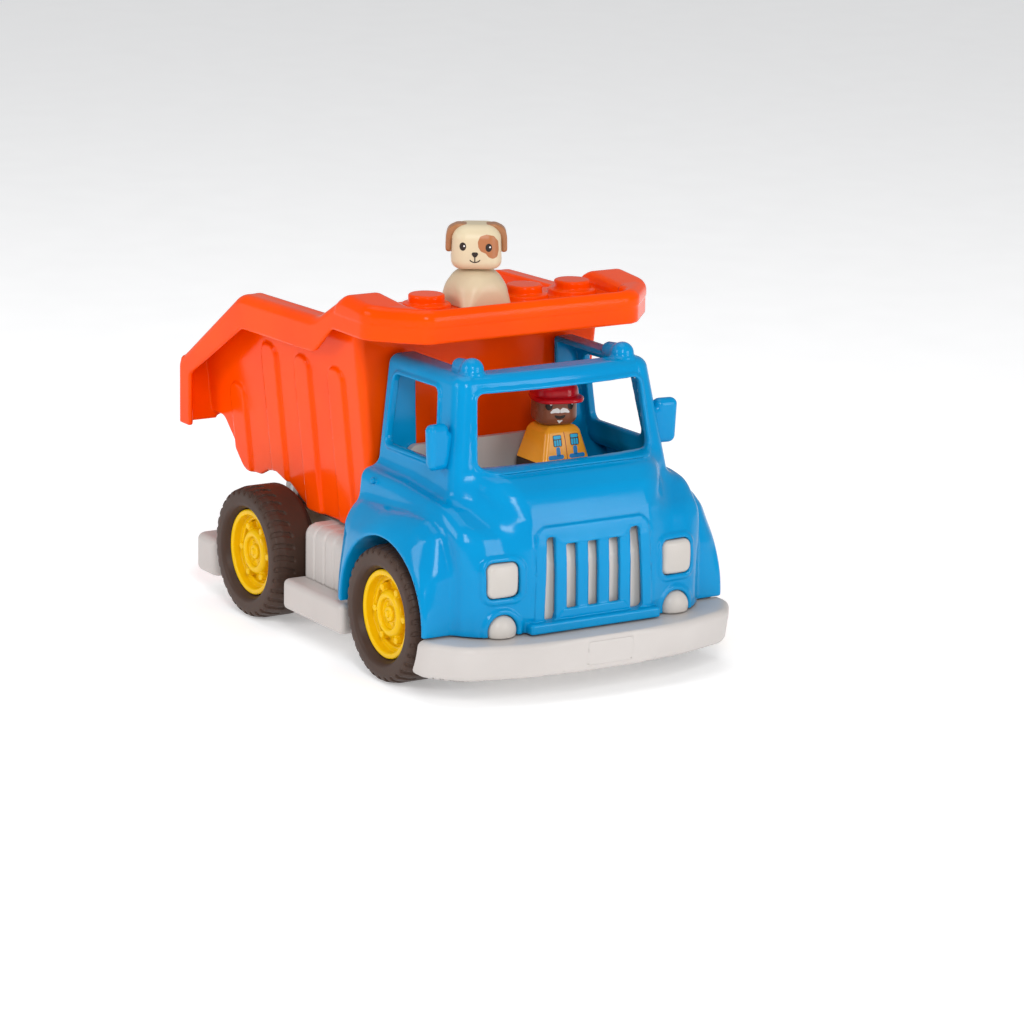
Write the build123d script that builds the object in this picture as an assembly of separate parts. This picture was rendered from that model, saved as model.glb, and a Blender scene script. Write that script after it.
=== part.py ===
from build123d import *
import os

# Toy dump truck. Millimetres, +Z up, the truck faces -Y, origin on the ground under its middle.
# Heights below are from the mouldings' datum plane, which stands BODY_LIFT above the ground.

# --- Driving dimensions -------------------------------------------------------------------
LENGTH = 332.0
WALL = 2.6
BODY_LIFT = 3.0
FRONT_AXLE_Y = -82.6
WHEELBASE = 155.4
REAR_AXLE_Y = FRONT_AXLE_Y + WHEELBASE
BLOCK_PITCH = 31.75
BLOCK_SIZE = 31.6

TYRE_R = 38.5
TYRE_IN_X = 69.5
TYRE_OUT_X = 98.5
HUB_R = 25.0
AXLE_R = 2.5
AXLE_HALF = 90.0
RUNNING_GAP = 0.06
AXLE_Z = TYRE_R - BODY_LIFT

BUMPER_HALF = 99.0
BUMPER_LOW = 11.0
BUMPER_TOP = 32.0

CAB_REAR_Y = -31.0
CAB_BOTTOM = 33.0
DOOR_HALF = 84.0
BELT_HALF = 70.0
ROOF_HALF = 62.5
ROOF_Z = 169.0
REAR_GAP_HALF = 46.5
REAR_LEAN = 3.5
ARCH_R = 44.0
ARCH_LOW = 33.0
AXLE_SLOT_R = 6.0
FENDER_RISE = 8.0
FENDER_HALF = 98.0

BED_FRONT_Y = -24.0
BED_REAR_Y = LENGTH / 2
BED_LOW_Z = 63.0
BED_LOW_HALF = 68.0
BED_TOP_HALF = 81.0
BED_TOP_Z = 185.0
RIM_HALF = 92.5
FLOOR_Z = 79.0
HINGE_Y = 90.0
HINGE_Z = 66.0
PIN_R = 2.5

DECK_Z = 58.0
SEAT_Z = 88.0
STUD_FLANGE_R = 13.7
STUD_FLANGE_H = 3.0
STUD_CAP_R = 10.2
STUD_CAP_H = 5.0
CANOPY_DECK_Z = 196.0
CANOPY_ROW_Y = -44.0
DRIVER_AT = (27.0, -60.0)
DRIVER_TURN = -15.0
DOG_TURN = -30.0
DOG_AT = (-BLOCK_PITCH / 2, CANOPY_ROW_Y)
NECK_R = 5.0
NECK_LENGTH = 6.0
HEAD_GAP = 0.3
SCREW_R = 1.4
SCREW_HEAD_R = 3.0
SCREW_HEAD_H = 2.0

# --- Helpers ------------------------------------------------------------------------------


def outline(points, radius):
    """A closed face in the XY plane with its corners rounded."""
    return make_face(FilletPolyline(*points, radius=radius, close=True))


def slab_x(points, x0, x1, radius=0.0):
    """(y, z) outline, standing between two planes across the truck."""
    return extrude(Plane.YZ.offset(x0) * outline(points, radius), amount=x1 - x0)


def slab_y(points, y0, y1, radius=0.0):
    """(x, z) outline, standing between two planes along the truck."""
    plane = Plane(origin=(0, y1, 0), x_dir=(1, 0, 0), z_dir=(0, -1, 0))
    return extrude(plane * outline(points, radius), amount=y1 - y0)


def slab_z(points, z0, z1, radius=0.0):
    """(x, y) outline, lying between two heights."""
    return extrude(Plane.XY.offset(z0) * outline(points, radius), amount=z1 - z0)


def block(x0, x1, y0, y1, z0, z1):
    """An upright box between its low and high corners."""
    middle = ((x0 + x1) / 2, (y0 + y1) / 2, (z0 + z1) / 2)
    return Pos(*middle) * Box(x1 - x0, y1 - y0, z1 - z0)


def rod_x(radius, x0, x1, y, z):
    """A round rod along X."""
    return Pos((x0 + x1) / 2, y, z) * Rot(0, 90, 0) * Cylinder(radius, x1 - x0)


def rod_z(radius, x, y, z0, z1):
    """A round rod along Z."""
    return Pos(x, y, (z0 + z1) / 2) * Cylinder(radius, z1 - z0)


def both_sides(shape):
    """The shape and its mirror image, as one."""
    return shape + mirror(shape, about=Plane.YZ)


def other_side(shape):
    """The mirror image of a piece made for the +X side."""
    return mirror(shape, about=Plane.YZ)


def mirrored_outline(points):
    """A half outline on the +X side, from back to front, closed with its mirror image."""
    return points + [(-x, y) for x, y in reversed(points)]


def stud(x, y, z):
    """A round building stud: low flange and a smaller cap."""
    top = z + STUD_FLANGE_H + STUD_CAP_H
    flange = rod_z(STUD_FLANGE_R, x, y, z, z + STUD_FLANGE_H)
    cap = rod_z(STUD_CAP_R, x, y, z + STUD_FLANGE_H - 1, top)
    return flange + fillet(cap.edges().group_by(Axis.Z)[-1], 1.0)


# --- Bumpers, steps and tanks -------------------------------------------------------------
BRACKET_HALF = 40.0


def front_bumper():
    half = [(BUMPER_HALF, -112), (BUMPER_HALF, -130), (84, -150), (45, -162), (15, -LENGTH / 2)]
    corners = [0, 6, 9, 30, 60, 60, 30, 9, 6, 0]
    body = slab_z(mirrored_outline(half), BUMPER_LOW, BUMPER_TOP, corners)
    faces = body.edges().filter_by(lambda e: e.center().Y < -113)
    body = fillet(faces.group_by(Axis.Z)[0] + faces.group_by(Axis.Z)[-1], 4.5)
    body -= both_sides(rod_x(TYRE_R + 4, 60, 110, FRONT_AXLE_Y, AXLE_Z))
    inner = mirrored_outline([(64, -100), (64, -128), (60, -142), (42, -150)])
    pocket = slab_z(inner, 20, BUMPER_TOP + 1)
    plate = block(-14.5, 14.5, -LENGTH / 2, -158, 16, 29.5)
    return body - pocket + plate - block(-BRACKET_HALF, BRACKET_HALF, -119, -100, 0, 40)


def rear_bumper():
    half = [(84, 122), (92, 127), (92, 141), (84, 148)]
    body = slab_z(mirrored_outline(half), 8, 31, [2, 4, 5, 5, 5, 5, 4, 2])
    return fillet(body.edges().group_by(Axis.Z)[-1], 4.0)


def step_box():
    body = slab_y([(58, 12), (96.5, 12), (96.5, 30), (58, 30)], -37, 31.5, [0, 2, 3, 0])
    return body - block(61, 93.5, -34, 28.5, 11, 27)


def side_tank():
    profile = [(60, 30), (84, 30), (84, 62), (60, 62)]
    body = slab_y(profile, -30, 29, [0, 0, 7, 0])
    grooves = [block(82.6, 86, y - 0.6, y + 0.6, 29, 66) for y in (-14.6, -3.5, 7.6, 18.7)]
    return body - slab_y([(60, 28), (81, 28), (81, 59), (60, 59)], -27, 26) - grooves


# --- Chassis ------------------------------------------------------------------------------
RAIL_IN, RAIL_OUT = 48.0, 58.0
# The frame is lower behind the hinge, so the tail of the tipped bed can swing down.
TAIL_CUT_Y, TAIL_CUT_Z = 104.0, 44.0


def chassis_frame():
    deck = block(-RAIL_OUT, RAIL_OUT, -110, 122, DECK_Z - WALL, DECK_Z)
    rails = both_sides(block(RAIL_IN, RAIL_OUT, -110, 122, AXLE_Z, DECK_Z))
    nose = block(-BRACKET_HALF, BRACKET_HALF, -119, -110, 12, DECK_Z)
    tail = block(-RAIL_OUT, RAIL_OUT, 118, 122, 12, DECK_Z)
    walls = [block(-RAIL_OUT, RAIL_OUT, y, y + 3, 12, DECK_Z) for y in (-37, 28.5)]
    skirts = both_sides(block(RAIL_OUT - 3, RAIL_OUT, -37, 31.5, 12, AXLE_Z + 1))
    ears = both_sides(hinge_ear(51, 58)) + both_sides(hinge_ear(28, 34))
    frame = deck + rails + nose + tail + walls + skirts + ears
    frame -= block(-RAIL_OUT - 1, RAIL_OUT + 1, TAIL_CUT_Y, 130, TAIL_CUT_Z, DECK_Z + 1)
    for y in (FRONT_AXLE_Y, REAR_AXLE_Y):
        frame -= rod_x(AXLE_R + RUNNING_GAP, -RAIL_OUT - 1, RAIL_OUT + 1, y, AXLE_Z)
        frame -= screw_holes(y)
    frame -= rod_x(PIN_R, -RAIL_OUT - 1, RAIL_OUT + 1, HINGE_Y, HINGE_Z)
    return frame


def hinge_ear(x0, x1):
    """An upright ear with a round top about the bed's hinge pin."""
    post = block(x0, x1, HINGE_Y - 7, HINGE_Y + 7, DECK_Z - 1, HINGE_Z)
    return post + rod_x(7, x0, x1, HINGE_Y, HINGE_Z)


SCREW_X, SCREW_Y = 53.0, 8.0


def screw_places(axle_y):
    return [(x, axle_y + y) for x in (-SCREW_X, SCREW_X) for y in (-SCREW_Y, SCREW_Y)]


def screw_holes(axle_y):
    return [rod_z(SCREW_R, x, y, 20, AXLE_Z + 9) for x, y in screw_places(axle_y)]


def axle_clamp(axle_y):
    bar = block(-RAIL_OUT, RAIL_OUT, axle_y - 12, axle_y + 12, AXLE_Z - 9, AXLE_Z)
    bar -= rod_x(AXLE_R + RUNNING_GAP, -RAIL_OUT - 1, RAIL_OUT + 1, axle_y, AXLE_Z)
    bar -= block(-RAIL_IN, RAIL_IN, axle_y - 9, axle_y + 9, AXLE_Z - 6, AXLE_Z + 1)
    for x, y in screw_places(axle_y):
        bar -= rod_z(SCREW_R, x, y, 20, AXLE_Z + 1)
        bar -= rod_z(SCREW_HEAD_R, x, y, 20, AXLE_Z - 9 + SCREW_HEAD_H)
    return bar


def clamp_screws():
    """Self-tapping screws, driven up through the axle clamps into the rails."""
    screws = []
    slot = Box(1.0, 2 * SCREW_HEAD_R + 1, 1.6)
    for axle_y in (FRONT_AXLE_Y, REAR_AXLE_Y):
        for x, y in screw_places(axle_y):
            low = AXLE_Z - 9
            shank = rod_z(SCREW_R, x, y, low + 1, AXLE_Z + 9)
            head = rod_z(SCREW_HEAD_R, x, y, low, low + SCREW_HEAD_H)
            screws.append(head + shank - Pos(x, y, low) * slot)
    return screws


def hinge_pin():
    pin = rod_x(PIN_R, -RAIL_OUT, RAIL_OUT, HINGE_Y, HINGE_Z)
    return fillet(pin.edges(), 0.5)


# --- Wheels -------------------------------------------------------------------------------


def spun(points, axle_y, radius=0.0):
    """(r, x) outline turned about an axle, on the +X side."""
    profile = Plane.XY * outline([(r, x) for r, x in points], radius)
    solid = revolve(profile, Axis.Y)
    return Pos(0, axle_y, AXLE_Z) * Rot(0, 0, -90) * solid


def tyre(axle_y):
    ends = [(HUB_R, TYRE_IN_X + 1), (28, TYRE_IN_X), (34, TYRE_IN_X), (TYRE_R, TYRE_IN_X + 4)]
    face = [(TYRE_R, TYRE_OUT_X - 4.5), (35, TYRE_OUT_X), (29, TYRE_OUT_X), (HUB_R, TYRE_OUT_X - 5)]
    return spun(ends + face, axle_y, [0, 1, 2, 3, 4, 3, 3, 0.5])


def hub(axle_y):
    dish_x = 87.0
    rim = spun([(21.5, 71), (HUB_R, 71), (HUB_R, 91), (22.5, 92), (21.5, 90)], axle_y)
    dish = spun([(AXLE_R, dish_x - 3), (23, dish_x - 3), (23, dish_x), (AXLE_R, dish_x)], axle_y)
    boss = [(AXLE_R, 71), (6, 71), (6, dish_x - 2), (12, dish_x - 2)]
    boss += [(12, 91), (8, 93), (6, 92), (AXLE_R, 92)]
    nut = rod_x(4.2, AXLE_HALF, 94, axle_y, AXLE_Z)
    knobs = [loc * Box(4, 4, 5) for loc in PolarLocations(16.5, 6)]
    lugs = [Pos(dish_x + 1.5, axle_y, AXLE_Z) * Rot(0, 90, 0) * knob for knob in knobs]
    bore = rod_x(AXLE_R, 65, AXLE_HALF, axle_y, AXLE_Z)
    return rim + dish + spun(boss, axle_y) + nut - bore + lugs


def axle(axle_y):
    return rod_x(AXLE_R, -AXLE_HALF, AXLE_HALF, axle_y, AXLE_Z)


# --- Cab ----------------------------------------------------------------------------------


def cab_body(inset):
    """Door boxes and side bulges, up to the shoulder."""
    low = CAB_BOTTOM - (20 if inset else 0)
    rear = CAB_REAR_Y - inset
    side = [(rear, low), (rear, 107 - inset), (-70, 106 - inset), (-120, 101 - inset)]
    side += [(-138 + inset, 88 - inset), (-145.5 + inset, 66), (-148.5 + inset, low)]
    half = DOOR_HALF - inset
    plan = [(half, rear), (half, -108), (77 - inset, -136 + inset)]
    plan += [(66, -145 + inset), (40, -149 + inset)]
    front = [(half, low), (half, 92), (half - 9, 107 - inset)]
    body = slab_x(side, -half, half, [0, 0, 20, 20, 12, 12, 0])
    body &= slab_z(mirrored_outline(plan), low, 120, [0, 12, 8, 12, 30, 30, 12, 8, 12, 0])
    return body & slab_y(mirrored_outline(front), -150, rear, [0, 12, 8, 8, 12, 0])


def cab_hood(inset):
    """The raised middle of the hood, narrowing towards the grille."""
    low = 60 - inset
    side = [(-80, low), (-80, 119 - inset), (-120, 119 - inset), (-136 + inset, 110 - inset)]
    side += [(-145 + inset, 92 - inset), (-146.5 + inset, low)]
    plan = mirrored_outline([(64 - inset, -80), (62 - inset, -118), (40 - inset, -147)])
    hood = slab_x(side, -64, 64, [0, 0, 14, 14, 6, 0])
    return hood & slab_z(plan, low, 120, [0, 5, 3, 3, 5, 0])


def cab_house(inset):
    """Windscreen pillars and window band, leaning in towards the roof."""
    rear = CAB_REAR_Y - inset
    top = ROOF_Z + (4 if inset else 0)
    side = [(rear, 90), (rear + REAR_LEAN, top), (-106.5 + inset, top), (-120 + inset, 90)]
    belt, roof = BELT_HALF + 3 - inset, ROOF_HALF - inset
    front = [(belt, 90), (roof, top), (-roof, top), (-belt, 90)]
    house = slab_x(side, -80, 80) & slab_y(front, -120, rear + REAR_LEAN)
    edges = house.edges().filter_by(lambda e: e.center().Y < rear - 5 and e.center().Z > 91)
    return fillet(edges, 6.5 - inset)


def wheel_arch(radius, x0, x1):
    """A half-round arch about the front axle, with straight legs down."""
    legs = block(x0, x1, FRONT_AXLE_Y - radius, FRONT_AXLE_Y + radius, ARCH_LOW, AXLE_Z)
    bow = rod_x(radius, x0, x1, FRONT_AXLE_Y, AXLE_Z)
    return bow + legs - block(x0 - 1, x1 + 1, FRONT_AXLE_Y - 60, FRONT_AXLE_Y + 60, -20, ARCH_LOW)


def cab_shell():
    outer = cab_body(0) + cab_hood(0) + cab_house(0)
    hollow = cab_body(WALL) + cab_hood(WALL) + cab_house(WALL)
    fender = wheel_arch(ARCH_R + FENDER_RISE, 70, FENDER_HALF)
    fender = chamfer(fender.edges().filter_by(GeomType.CIRCLE).sort_by(Axis.X)[-1], FENDER_RISE - WALL)
    fender -= wheel_arch(ARCH_R, 60, 110)
    fender -= block(60, 110, CAB_REAR_Y, 20, 0, 200)
    well = wheel_arch(ARCH_R + WALL, 62, DOOR_HALF - 1) & cab_body(0)
    well -= wheel_arch(ARCH_R, 62 + WALL, 110)
    shell = outer - hollow + both_sides(fender + well)
    shell -= both_sides(wheel_arch(ARCH_R, 62 + WALL, 110))
    shell -= both_sides(block(60, 110, FRONT_AXLE_Y - ARCH_R, FRONT_AXLE_Y + ARCH_R, 0, ARCH_LOW + 1))
    shell -= rod_x(AXLE_SLOT_R, -70, 70, FRONT_AXLE_Y, AXLE_Z)
    rails = both_sides(block(ROOF_HALF - 12, ROOF_HALF - 1, -100, CAB_REAR_Y, ROOF_Z - 3, ROOF_Z))
    header = slab_x([(-109, 160), (-106.5, ROOF_Z), (-92, ROOF_Z), (-92, 166), (-103, 160)], -60, 60)
    shell += rails + header
    shell -= block(-REAR_GAP_HALF, REAR_GAP_HALF, -92, CAB_REAR_Y + 6, SEAT_Z + 1, ROOF_Z + 1)
    shell -= block(-RAIL_OUT - 2, RAIL_OUT + 2, CAB_REAR_Y - 5, CAB_REAR_Y + 1, 20, SEAT_Z + 1)
    shell -= windscreen() + side_windows() + grille_gaps() + lamp_holes()
    lamps = [Pos(x, -95.7, 171.0) * Sphere(6.4) for x in (-48.8, 48.8)]
    return shell + lamps + grille_frame() - handle_dimples()


def windscreen():
    return slab_y([(55.5, 120), (52.5, 159), (-52.5, 159), (-55.5, 120)], -150, -95, 4.0)


def side_windows():
    corners = [(-38, 158.5), (-85, 159.5), (-92, 121), (-38.5, 120.5)]
    return slab_x(corners, -90, 90, 4.0)


def grille_gaps():
    places = ((-24, 2.5, 80), (-12.5, 3, 78), (0, 3, 78), (12.5, 3, 78), (24, 2.5, 80))
    return Part() + [block(x - half, x + half, -155, -135, 44, top) for x, half, top in places]


def grille_frame():
    ring = slab_y([(37, 40), (36, 91), (-36, 91), (-37, 40)], -149, -143, 5.0)
    ring -= slab_y([(27, 43), (27, 81), (-27, 81), (-27, 43)], -160, -130, 2.0)
    return ring + block(-42, 42, -150, -143, 33, 41)


LAMP_X = 56.2
HEADLIGHT_Z = 63.9
FOG_Z = 35.9


def square_lamp(size, x, y0, y1):
    half = size / 2
    low, high = HEADLIGHT_Z - half, HEADLIGHT_Z + half
    corners = [(x - half, low), (x + half, low), (x + half, high), (x - half, high)]
    return slab_y(corners, y0, y1, 3.5)


def fog_lamp(radius, x, y, length):
    return Pos(x, y, FOG_Z) * Rot(90, 0, 0) * Cylinder(radius, length)


def lamp_holes():
    holes = [square_lamp(20, x, -155, -130) for x in (-LAMP_X, LAMP_X)]
    holes += [fog_lamp(8.8, x, -145, 30) for x in (-LAMP_X, LAMP_X)]
    return Part() + holes


def handle_dimples():
    return both_sides(Pos(84.5, -44, 100) * Sphere(4))


def lamp_insert():
    """The grey backing behind the grille, with the headlights and fog lamps moulded on it."""
    back = block(-64, 64, -139, -136.5, 34, 74)
    lamps = [square_lamp(19.2, x, -145.5, -137) for x in (-LAMP_X, LAMP_X)]
    fogs = [fog_lamp(8.3, x, -143, 12) for x in (-LAMP_X, LAMP_X)]
    insert = back + lamps + fogs + block(-33, 33, -139, -136.5, 34, 84)
    return insert - block(-100, 100, -200, 0, 0, BUMPER_TOP + 0.5)


def mirror_pod():
    """A door mirror that sits against the windscreen pillar."""
    pod = slab_y([(66, 120), (79, 121), (80.5, 143), (67, 143)], -105, -97, [3, 5, 5, 3])
    return pod - cab_house(0)


def seat_block():
    deck = block(-56, 56, -104, -38, SEAT_Z - WALL, SEAT_Z)
    posts = both_sides(block(50, 56, -100, -40, DECK_Z, SEAT_Z))
    back = slab_y([(56, DECK_Z), (54, 117), (-54, 117), (-56, DECK_Z)], -38, -34, [0, 6, 6, 0])
    places = ((-DRIVER_AT[0], DRIVER_AT[1]), DRIVER_AT)
    studs = [stud(x, y, SEAT_Z) for x, y in places]
    return deck + posts + back + studs


# --- Tipping bed --------------------------------------------------------------------------
RIM_TOP = [(-90, 201.5), (-58, 201.5), (-28, 204), (4, 186), (93, 184), (BED_REAR_Y, 134)]
WEB_LOW = 94.5
SKIRT_LOW = [(153, 94), (153, 126), (90, 164), (4, 166), (-16, 183), (-90, 183)]


def bed_front(inset, low=BED_LOW_Z):
    """Front-view section of the tub, narrower at the bottom."""
    slope = (BED_TOP_HALF - BED_LOW_HALF) / (BED_TOP_Z - BED_LOW_Z)
    bottom = BED_LOW_HALF - slope * (BED_LOW_Z - low) - inset
    top = BED_TOP_HALF + slope * 30 - inset
    return [(bottom, low), (top, BED_TOP_Z + 30), (-top, BED_TOP_Z + 30), (-bottom, low)]


def under_rim(drop):
    """Everything under the rim's top line, in side view, lowered square to each stretch."""
    region = outline(RIM_TOP + [(BED_REAR_Y, 20), (-90, 20)], 0)
    if drop:
        region = offset(region, -drop, kind=Kind.INTERSECTION)
    return extrude(Plane.YZ.offset(-120) * region, amount=240)


def rim_plan(inset):
    half = RIM_HALF - inset
    corner = [(half, BED_REAR_Y + 1 + inset), (half, -53), (68 - 0.4 * inset, -80.5 + inset)]
    return slab_z(mirrored_outline(corner), 60, 220, [0, 12, 12, 12, 12, 0])


def bed_shell():
    rim = (under_rim(0) & rim_plan(0)) - (under_rim(WALL) & rim_plan(WALL))
    band = [(-90, 230), (BED_REAR_Y + 5, 230), (BED_REAR_Y + 5, 94)] + SKIRT_LOW
    rim &= slab_x(band, -110, 110)
    side = [(BED_FRONT_Y, 210), (BED_FRONT_Y, 64), (49, BED_LOW_Z), (57, 66), (74, 77), (84, 80)]
    side += [(98, 79), (108, 71), (123, 71), (149, 99), (BED_REAR_Y, 99), (BED_REAR_Y, 210)]
    tub = slab_x(side, -100, 100, [0, 4, 4, 4, 4, 3, 3, 4, 8, 6, 0, 0]) & under_rim(0)
    tub &= slab_y(bed_front(0, 60), BED_FRONT_Y - 1, BED_REAR_Y + 1)
    front, tail = BED_FRONT_Y + WALL, BED_REAR_Y + 10
    load = [(front, 230), (front, FLOOR_Z + WALL), (131, FLOOR_Z + WALL), (151, 102), (tail, 102), (tail, 230)]
    room = slab_x(load, -100, 100, [0, 4, 12, 4, 0, 0])
    room &= slab_y(bed_front(WALL, 60), BED_FRONT_Y, BED_REAR_Y + 20)
    below = [(front, 40), (front, FLOOR_Z), (131, FLOOR_Z), (149, 97), (tail, 96), (tail, 40)]
    under = slab_x(below, -100, 100)
    under &= slab_y(bed_front(WALL, 40), BED_FRONT_Y, BED_REAR_Y + 20)
    web = block(-RIM_HALF + 1, RIM_HALF - 1, BED_REAR_Y - WALL, BED_REAR_Y, WEB_LOW, 132)
    shell = tub + rim + web - room - under
    ribs = [slab_x([(y - 9, low), (y - 9, top), (y + 9, top), (y + 9, low)], -100, 100, [0, 8, 8, 0])
            for y, low, top in ((4, 68, 156), (43, 67, 156), (82, 84, 156), (126, 84, 124))]
    skin = slab_y(bed_front(-1.8, 64), BED_FRONT_Y, 146) - slab_y(bed_front(1, 64), BED_FRONT_Y, 147)
    shell += [rib & skin for rib in ribs]
    deck = block(-80, 80, -72, BED_FRONT_Y + 1, CANOPY_DECK_Z - WALL, CANOPY_DECK_Z)
    pocket = block(-64, 64, -72, BED_FRONT_Y - 3, CANOPY_DECK_Z, 230)
    shell = shell + deck - pocket
    shell += [stud(x * BLOCK_PITCH, CANOPY_ROW_Y, CANOPY_DECK_Z) for x in (-1.5, -0.5, 0.5, 1.5)]
    lugs = both_sides(hinge_lug(40, 50.7)) + both_sides(hinge_lug(18, 27.7))
    shell += lugs
    return shell - rod_x(PIN_R + RUNNING_GAP, -60, 60, HINGE_Y, HINGE_Z)


def hinge_lug(x0, x1):
    """A lug that hangs from the bed's floor and turns on the hinge pin."""
    hanger = block(x0, x1, HINGE_Y - 6, HINGE_Y + 6, HINGE_Z, FLOOR_Z + 1)
    return hanger + rod_x(6, x0, x1, HINGE_Y, HINGE_Z)


# --- Figures ------------------------------------------------------------------------------


def figure_block(x, y, z0, z1, half_low, half_high):
    """A rounded square block, hollow underneath to sit over a stud."""
    low = Plane.XY.offset(z0) * RectangleRounded(2 * half_low, 2 * half_low, 5)
    high = Plane.XY.offset(z1) * RectangleRounded(2 * half_high, 2 * half_high, 5)
    return Pos(x, y, 0) * loft([low, high])


def socket(x, y, z):
    return rod_z(STUD_FLANGE_R + 0.3, x, y, z - 1, z + STUD_FLANGE_H + STUD_CAP_H + 0.5)


def neck_hole(x, y, z):
    return rod_z(NECK_R + RUNNING_GAP, x, y, z - NECK_LENGTH - 1, z + 1)


def soft_block(x, y, z0, z1, half, corner, edge):
    """An upright block with round corners and softer top and bottom edges."""
    body = Pos(x, y, (z0 + z1) / 2) * Box(2 * half, 2 * half, z1 - z0)
    body = fillet(body.edges().filter_by(Axis.Z), corner)
    return fillet(body.edges().group_by(Axis.Z)[0] + body.edges().group_by(Axis.Z)[-1], edge)


def neck(x, y, z):
    return rod_z(NECK_R, x, y, z - NECK_LENGTH, z + 2)


DOG_BODY_TOP = CANOPY_DECK_Z + 20.4
DOG_HEAD_Z = DOG_BODY_TOP + HEAD_GAP


def dog_body():
    body = figure_block(*DOG_AT, CANOPY_DECK_Z, DOG_BODY_TOP, BLOCK_SIZE / 2, 12)
    return body - socket(*DOG_AT, CANOPY_DECK_Z) - neck_hole(*DOG_AT, DOG_BODY_TOP)


def dog_head():
    x, y = DOG_AT
    skull = soft_block(0, 0, DOG_HEAD_Z, DOG_HEAD_Z + 24.6, 14, 7, 6)
    skull += neck(0, 0, DOG_HEAD_Z)
    ear = Pos(14.7, 0, DOG_HEAD_Z + 17) * Box(4.5, 9, 16)
    ears = both_sides(fillet(ear.edges(), 2.0))
    return Pos(x, y, 0) * Rot(0, 0, DOG_TURN) * (skull + ears)


LEGS_TOP = SEAT_Z + 18.0
JACKET_TOP = LEGS_TOP + 20.5
DRIVER_HEAD_Z = JACKET_TOP + HEAD_GAP


def driver_legs():
    legs = figure_block(*DRIVER_AT, SEAT_Z, LEGS_TOP, BLOCK_SIZE / 2, BLOCK_SIZE / 2)
    return legs - socket(*DRIVER_AT, SEAT_Z)


def driver_jacket():
    jacket = figure_block(*DRIVER_AT, LEGS_TOP, JACKET_TOP, BLOCK_SIZE / 2, 10.5)
    return jacket - neck_hole(*DRIVER_AT, JACKET_TOP)


def driver_skull(grow=0.0):
    """The driver's head without its neck, in its own turned frame."""
    return soft_block(0, 0, DRIVER_HEAD_Z - grow, DRIVER_HEAD_Z + 21 + grow, 12.0 + grow, 9, 5)


def driver_head():
    return driver_frame() * (driver_skull() + neck(0, 0, DRIVER_HEAD_Z))


def driver_hat():
    """A site hat pressed onto the head, with a brim in front."""
    low, top = DRIVER_HEAD_Z + 14, DRIVER_HEAD_Z + 24
    dome = soft_block(0, 0, low - 8, top, 13.0, 9.5, 5) - block(-20, 20, -20, 20, low - 9, low)
    brim = slab_z([(12.5, 6), (14.8, -3), (14.5, -13), (8, -19.5), (-8, -19.5), (-14.5, -13), (-14.8, -3),
                   (-12.5, 6)], low, low + 2.4, [0, 4, 4, 6, 6, 4, 4, 0])
    return driver_frame() * (dome + brim - driver_skull())


def driver_frame():
    return Pos(*DRIVER_AT, 0) * Rot(0, 0, DRIVER_TURN)


# --- Write one file per node ----------------------------------------------------------------


def main():
    step, tank, pod = step_box(), side_tank(), mirror_pod()
    nodes = {
        "chassis_frame": chassis_frame(),
        "front_bumper": front_bumper(),
        "rear_bumper": rear_bumper(),
        "step_left": step,
        "step_right": other_side(step),
        "tank_left": tank,
        "tank_right": other_side(tank),
        "axle_clamp_front": axle_clamp(FRONT_AXLE_Y),
        "axle_clamp_rear": axle_clamp(REAR_AXLE_Y),
        "clamp_screws": clamp_screws(),
        "bed_hinge_pin": hinge_pin(),
        "cab_shell": cab_shell(),
        "lamp_insert": lamp_insert(),
        "mirror_left": pod,
        "mirror_right": other_side(pod),
        "seat_block": seat_block(),
        "bed_shell": bed_shell(),
        "dog_body": dog_body(),
        "dog_head": dog_head(),
        "driver_legs": driver_legs(),
        "driver_jacket": driver_jacket(),
        "driver_head": driver_head(),
        "driver_hat": driver_hat(),
    }
    for end, axle_y in (("front", FRONT_AXLE_Y), ("rear", REAR_AXLE_Y)):
        nodes[f"{end}_axle"] = axle(axle_y)
        for kind, piece in (("hub", hub(axle_y)), ("tyre", tyre(axle_y))):
            nodes[f"{end}_{kind}_left"] = piece
            nodes[f"{end}_{kind}_right"] = other_side(piece)
    os.makedirs("parts", exist_ok=True)
    for name, shape in nodes.items():
        pieces = shape if isinstance(shape, list) else shape.solids()
        lifted = [Pos(0, 0, BODY_LIFT) * piece for piece in pieces]
        export_step(Compound(children=lifted), f"parts/{name}.step")


main()
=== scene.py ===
import math

import bpy
import numpy as np
from mathutils import Matrix, Vector


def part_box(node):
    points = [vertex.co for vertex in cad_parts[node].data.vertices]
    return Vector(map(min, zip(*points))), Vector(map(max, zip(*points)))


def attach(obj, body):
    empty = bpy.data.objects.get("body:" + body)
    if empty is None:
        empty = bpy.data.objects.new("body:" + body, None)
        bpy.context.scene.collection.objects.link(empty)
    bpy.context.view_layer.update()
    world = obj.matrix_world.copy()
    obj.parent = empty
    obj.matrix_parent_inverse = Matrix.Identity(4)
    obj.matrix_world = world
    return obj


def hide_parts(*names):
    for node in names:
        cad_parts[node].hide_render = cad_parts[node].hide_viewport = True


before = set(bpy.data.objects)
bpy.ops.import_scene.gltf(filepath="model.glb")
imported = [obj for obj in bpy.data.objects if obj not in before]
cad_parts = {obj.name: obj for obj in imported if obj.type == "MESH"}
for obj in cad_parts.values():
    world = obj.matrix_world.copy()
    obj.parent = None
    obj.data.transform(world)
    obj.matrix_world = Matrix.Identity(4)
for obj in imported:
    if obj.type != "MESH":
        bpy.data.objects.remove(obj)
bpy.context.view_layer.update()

# A toy dump truck, moulded in thick plastic. Forms are worked out in millimetres from the mouldings'
# datum plane, +X to the truck's left and -Y to its front, and each mesh is then lifted into the frame.
MM = 0.001
LIFT = 3.0
WALL = 2.6


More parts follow.
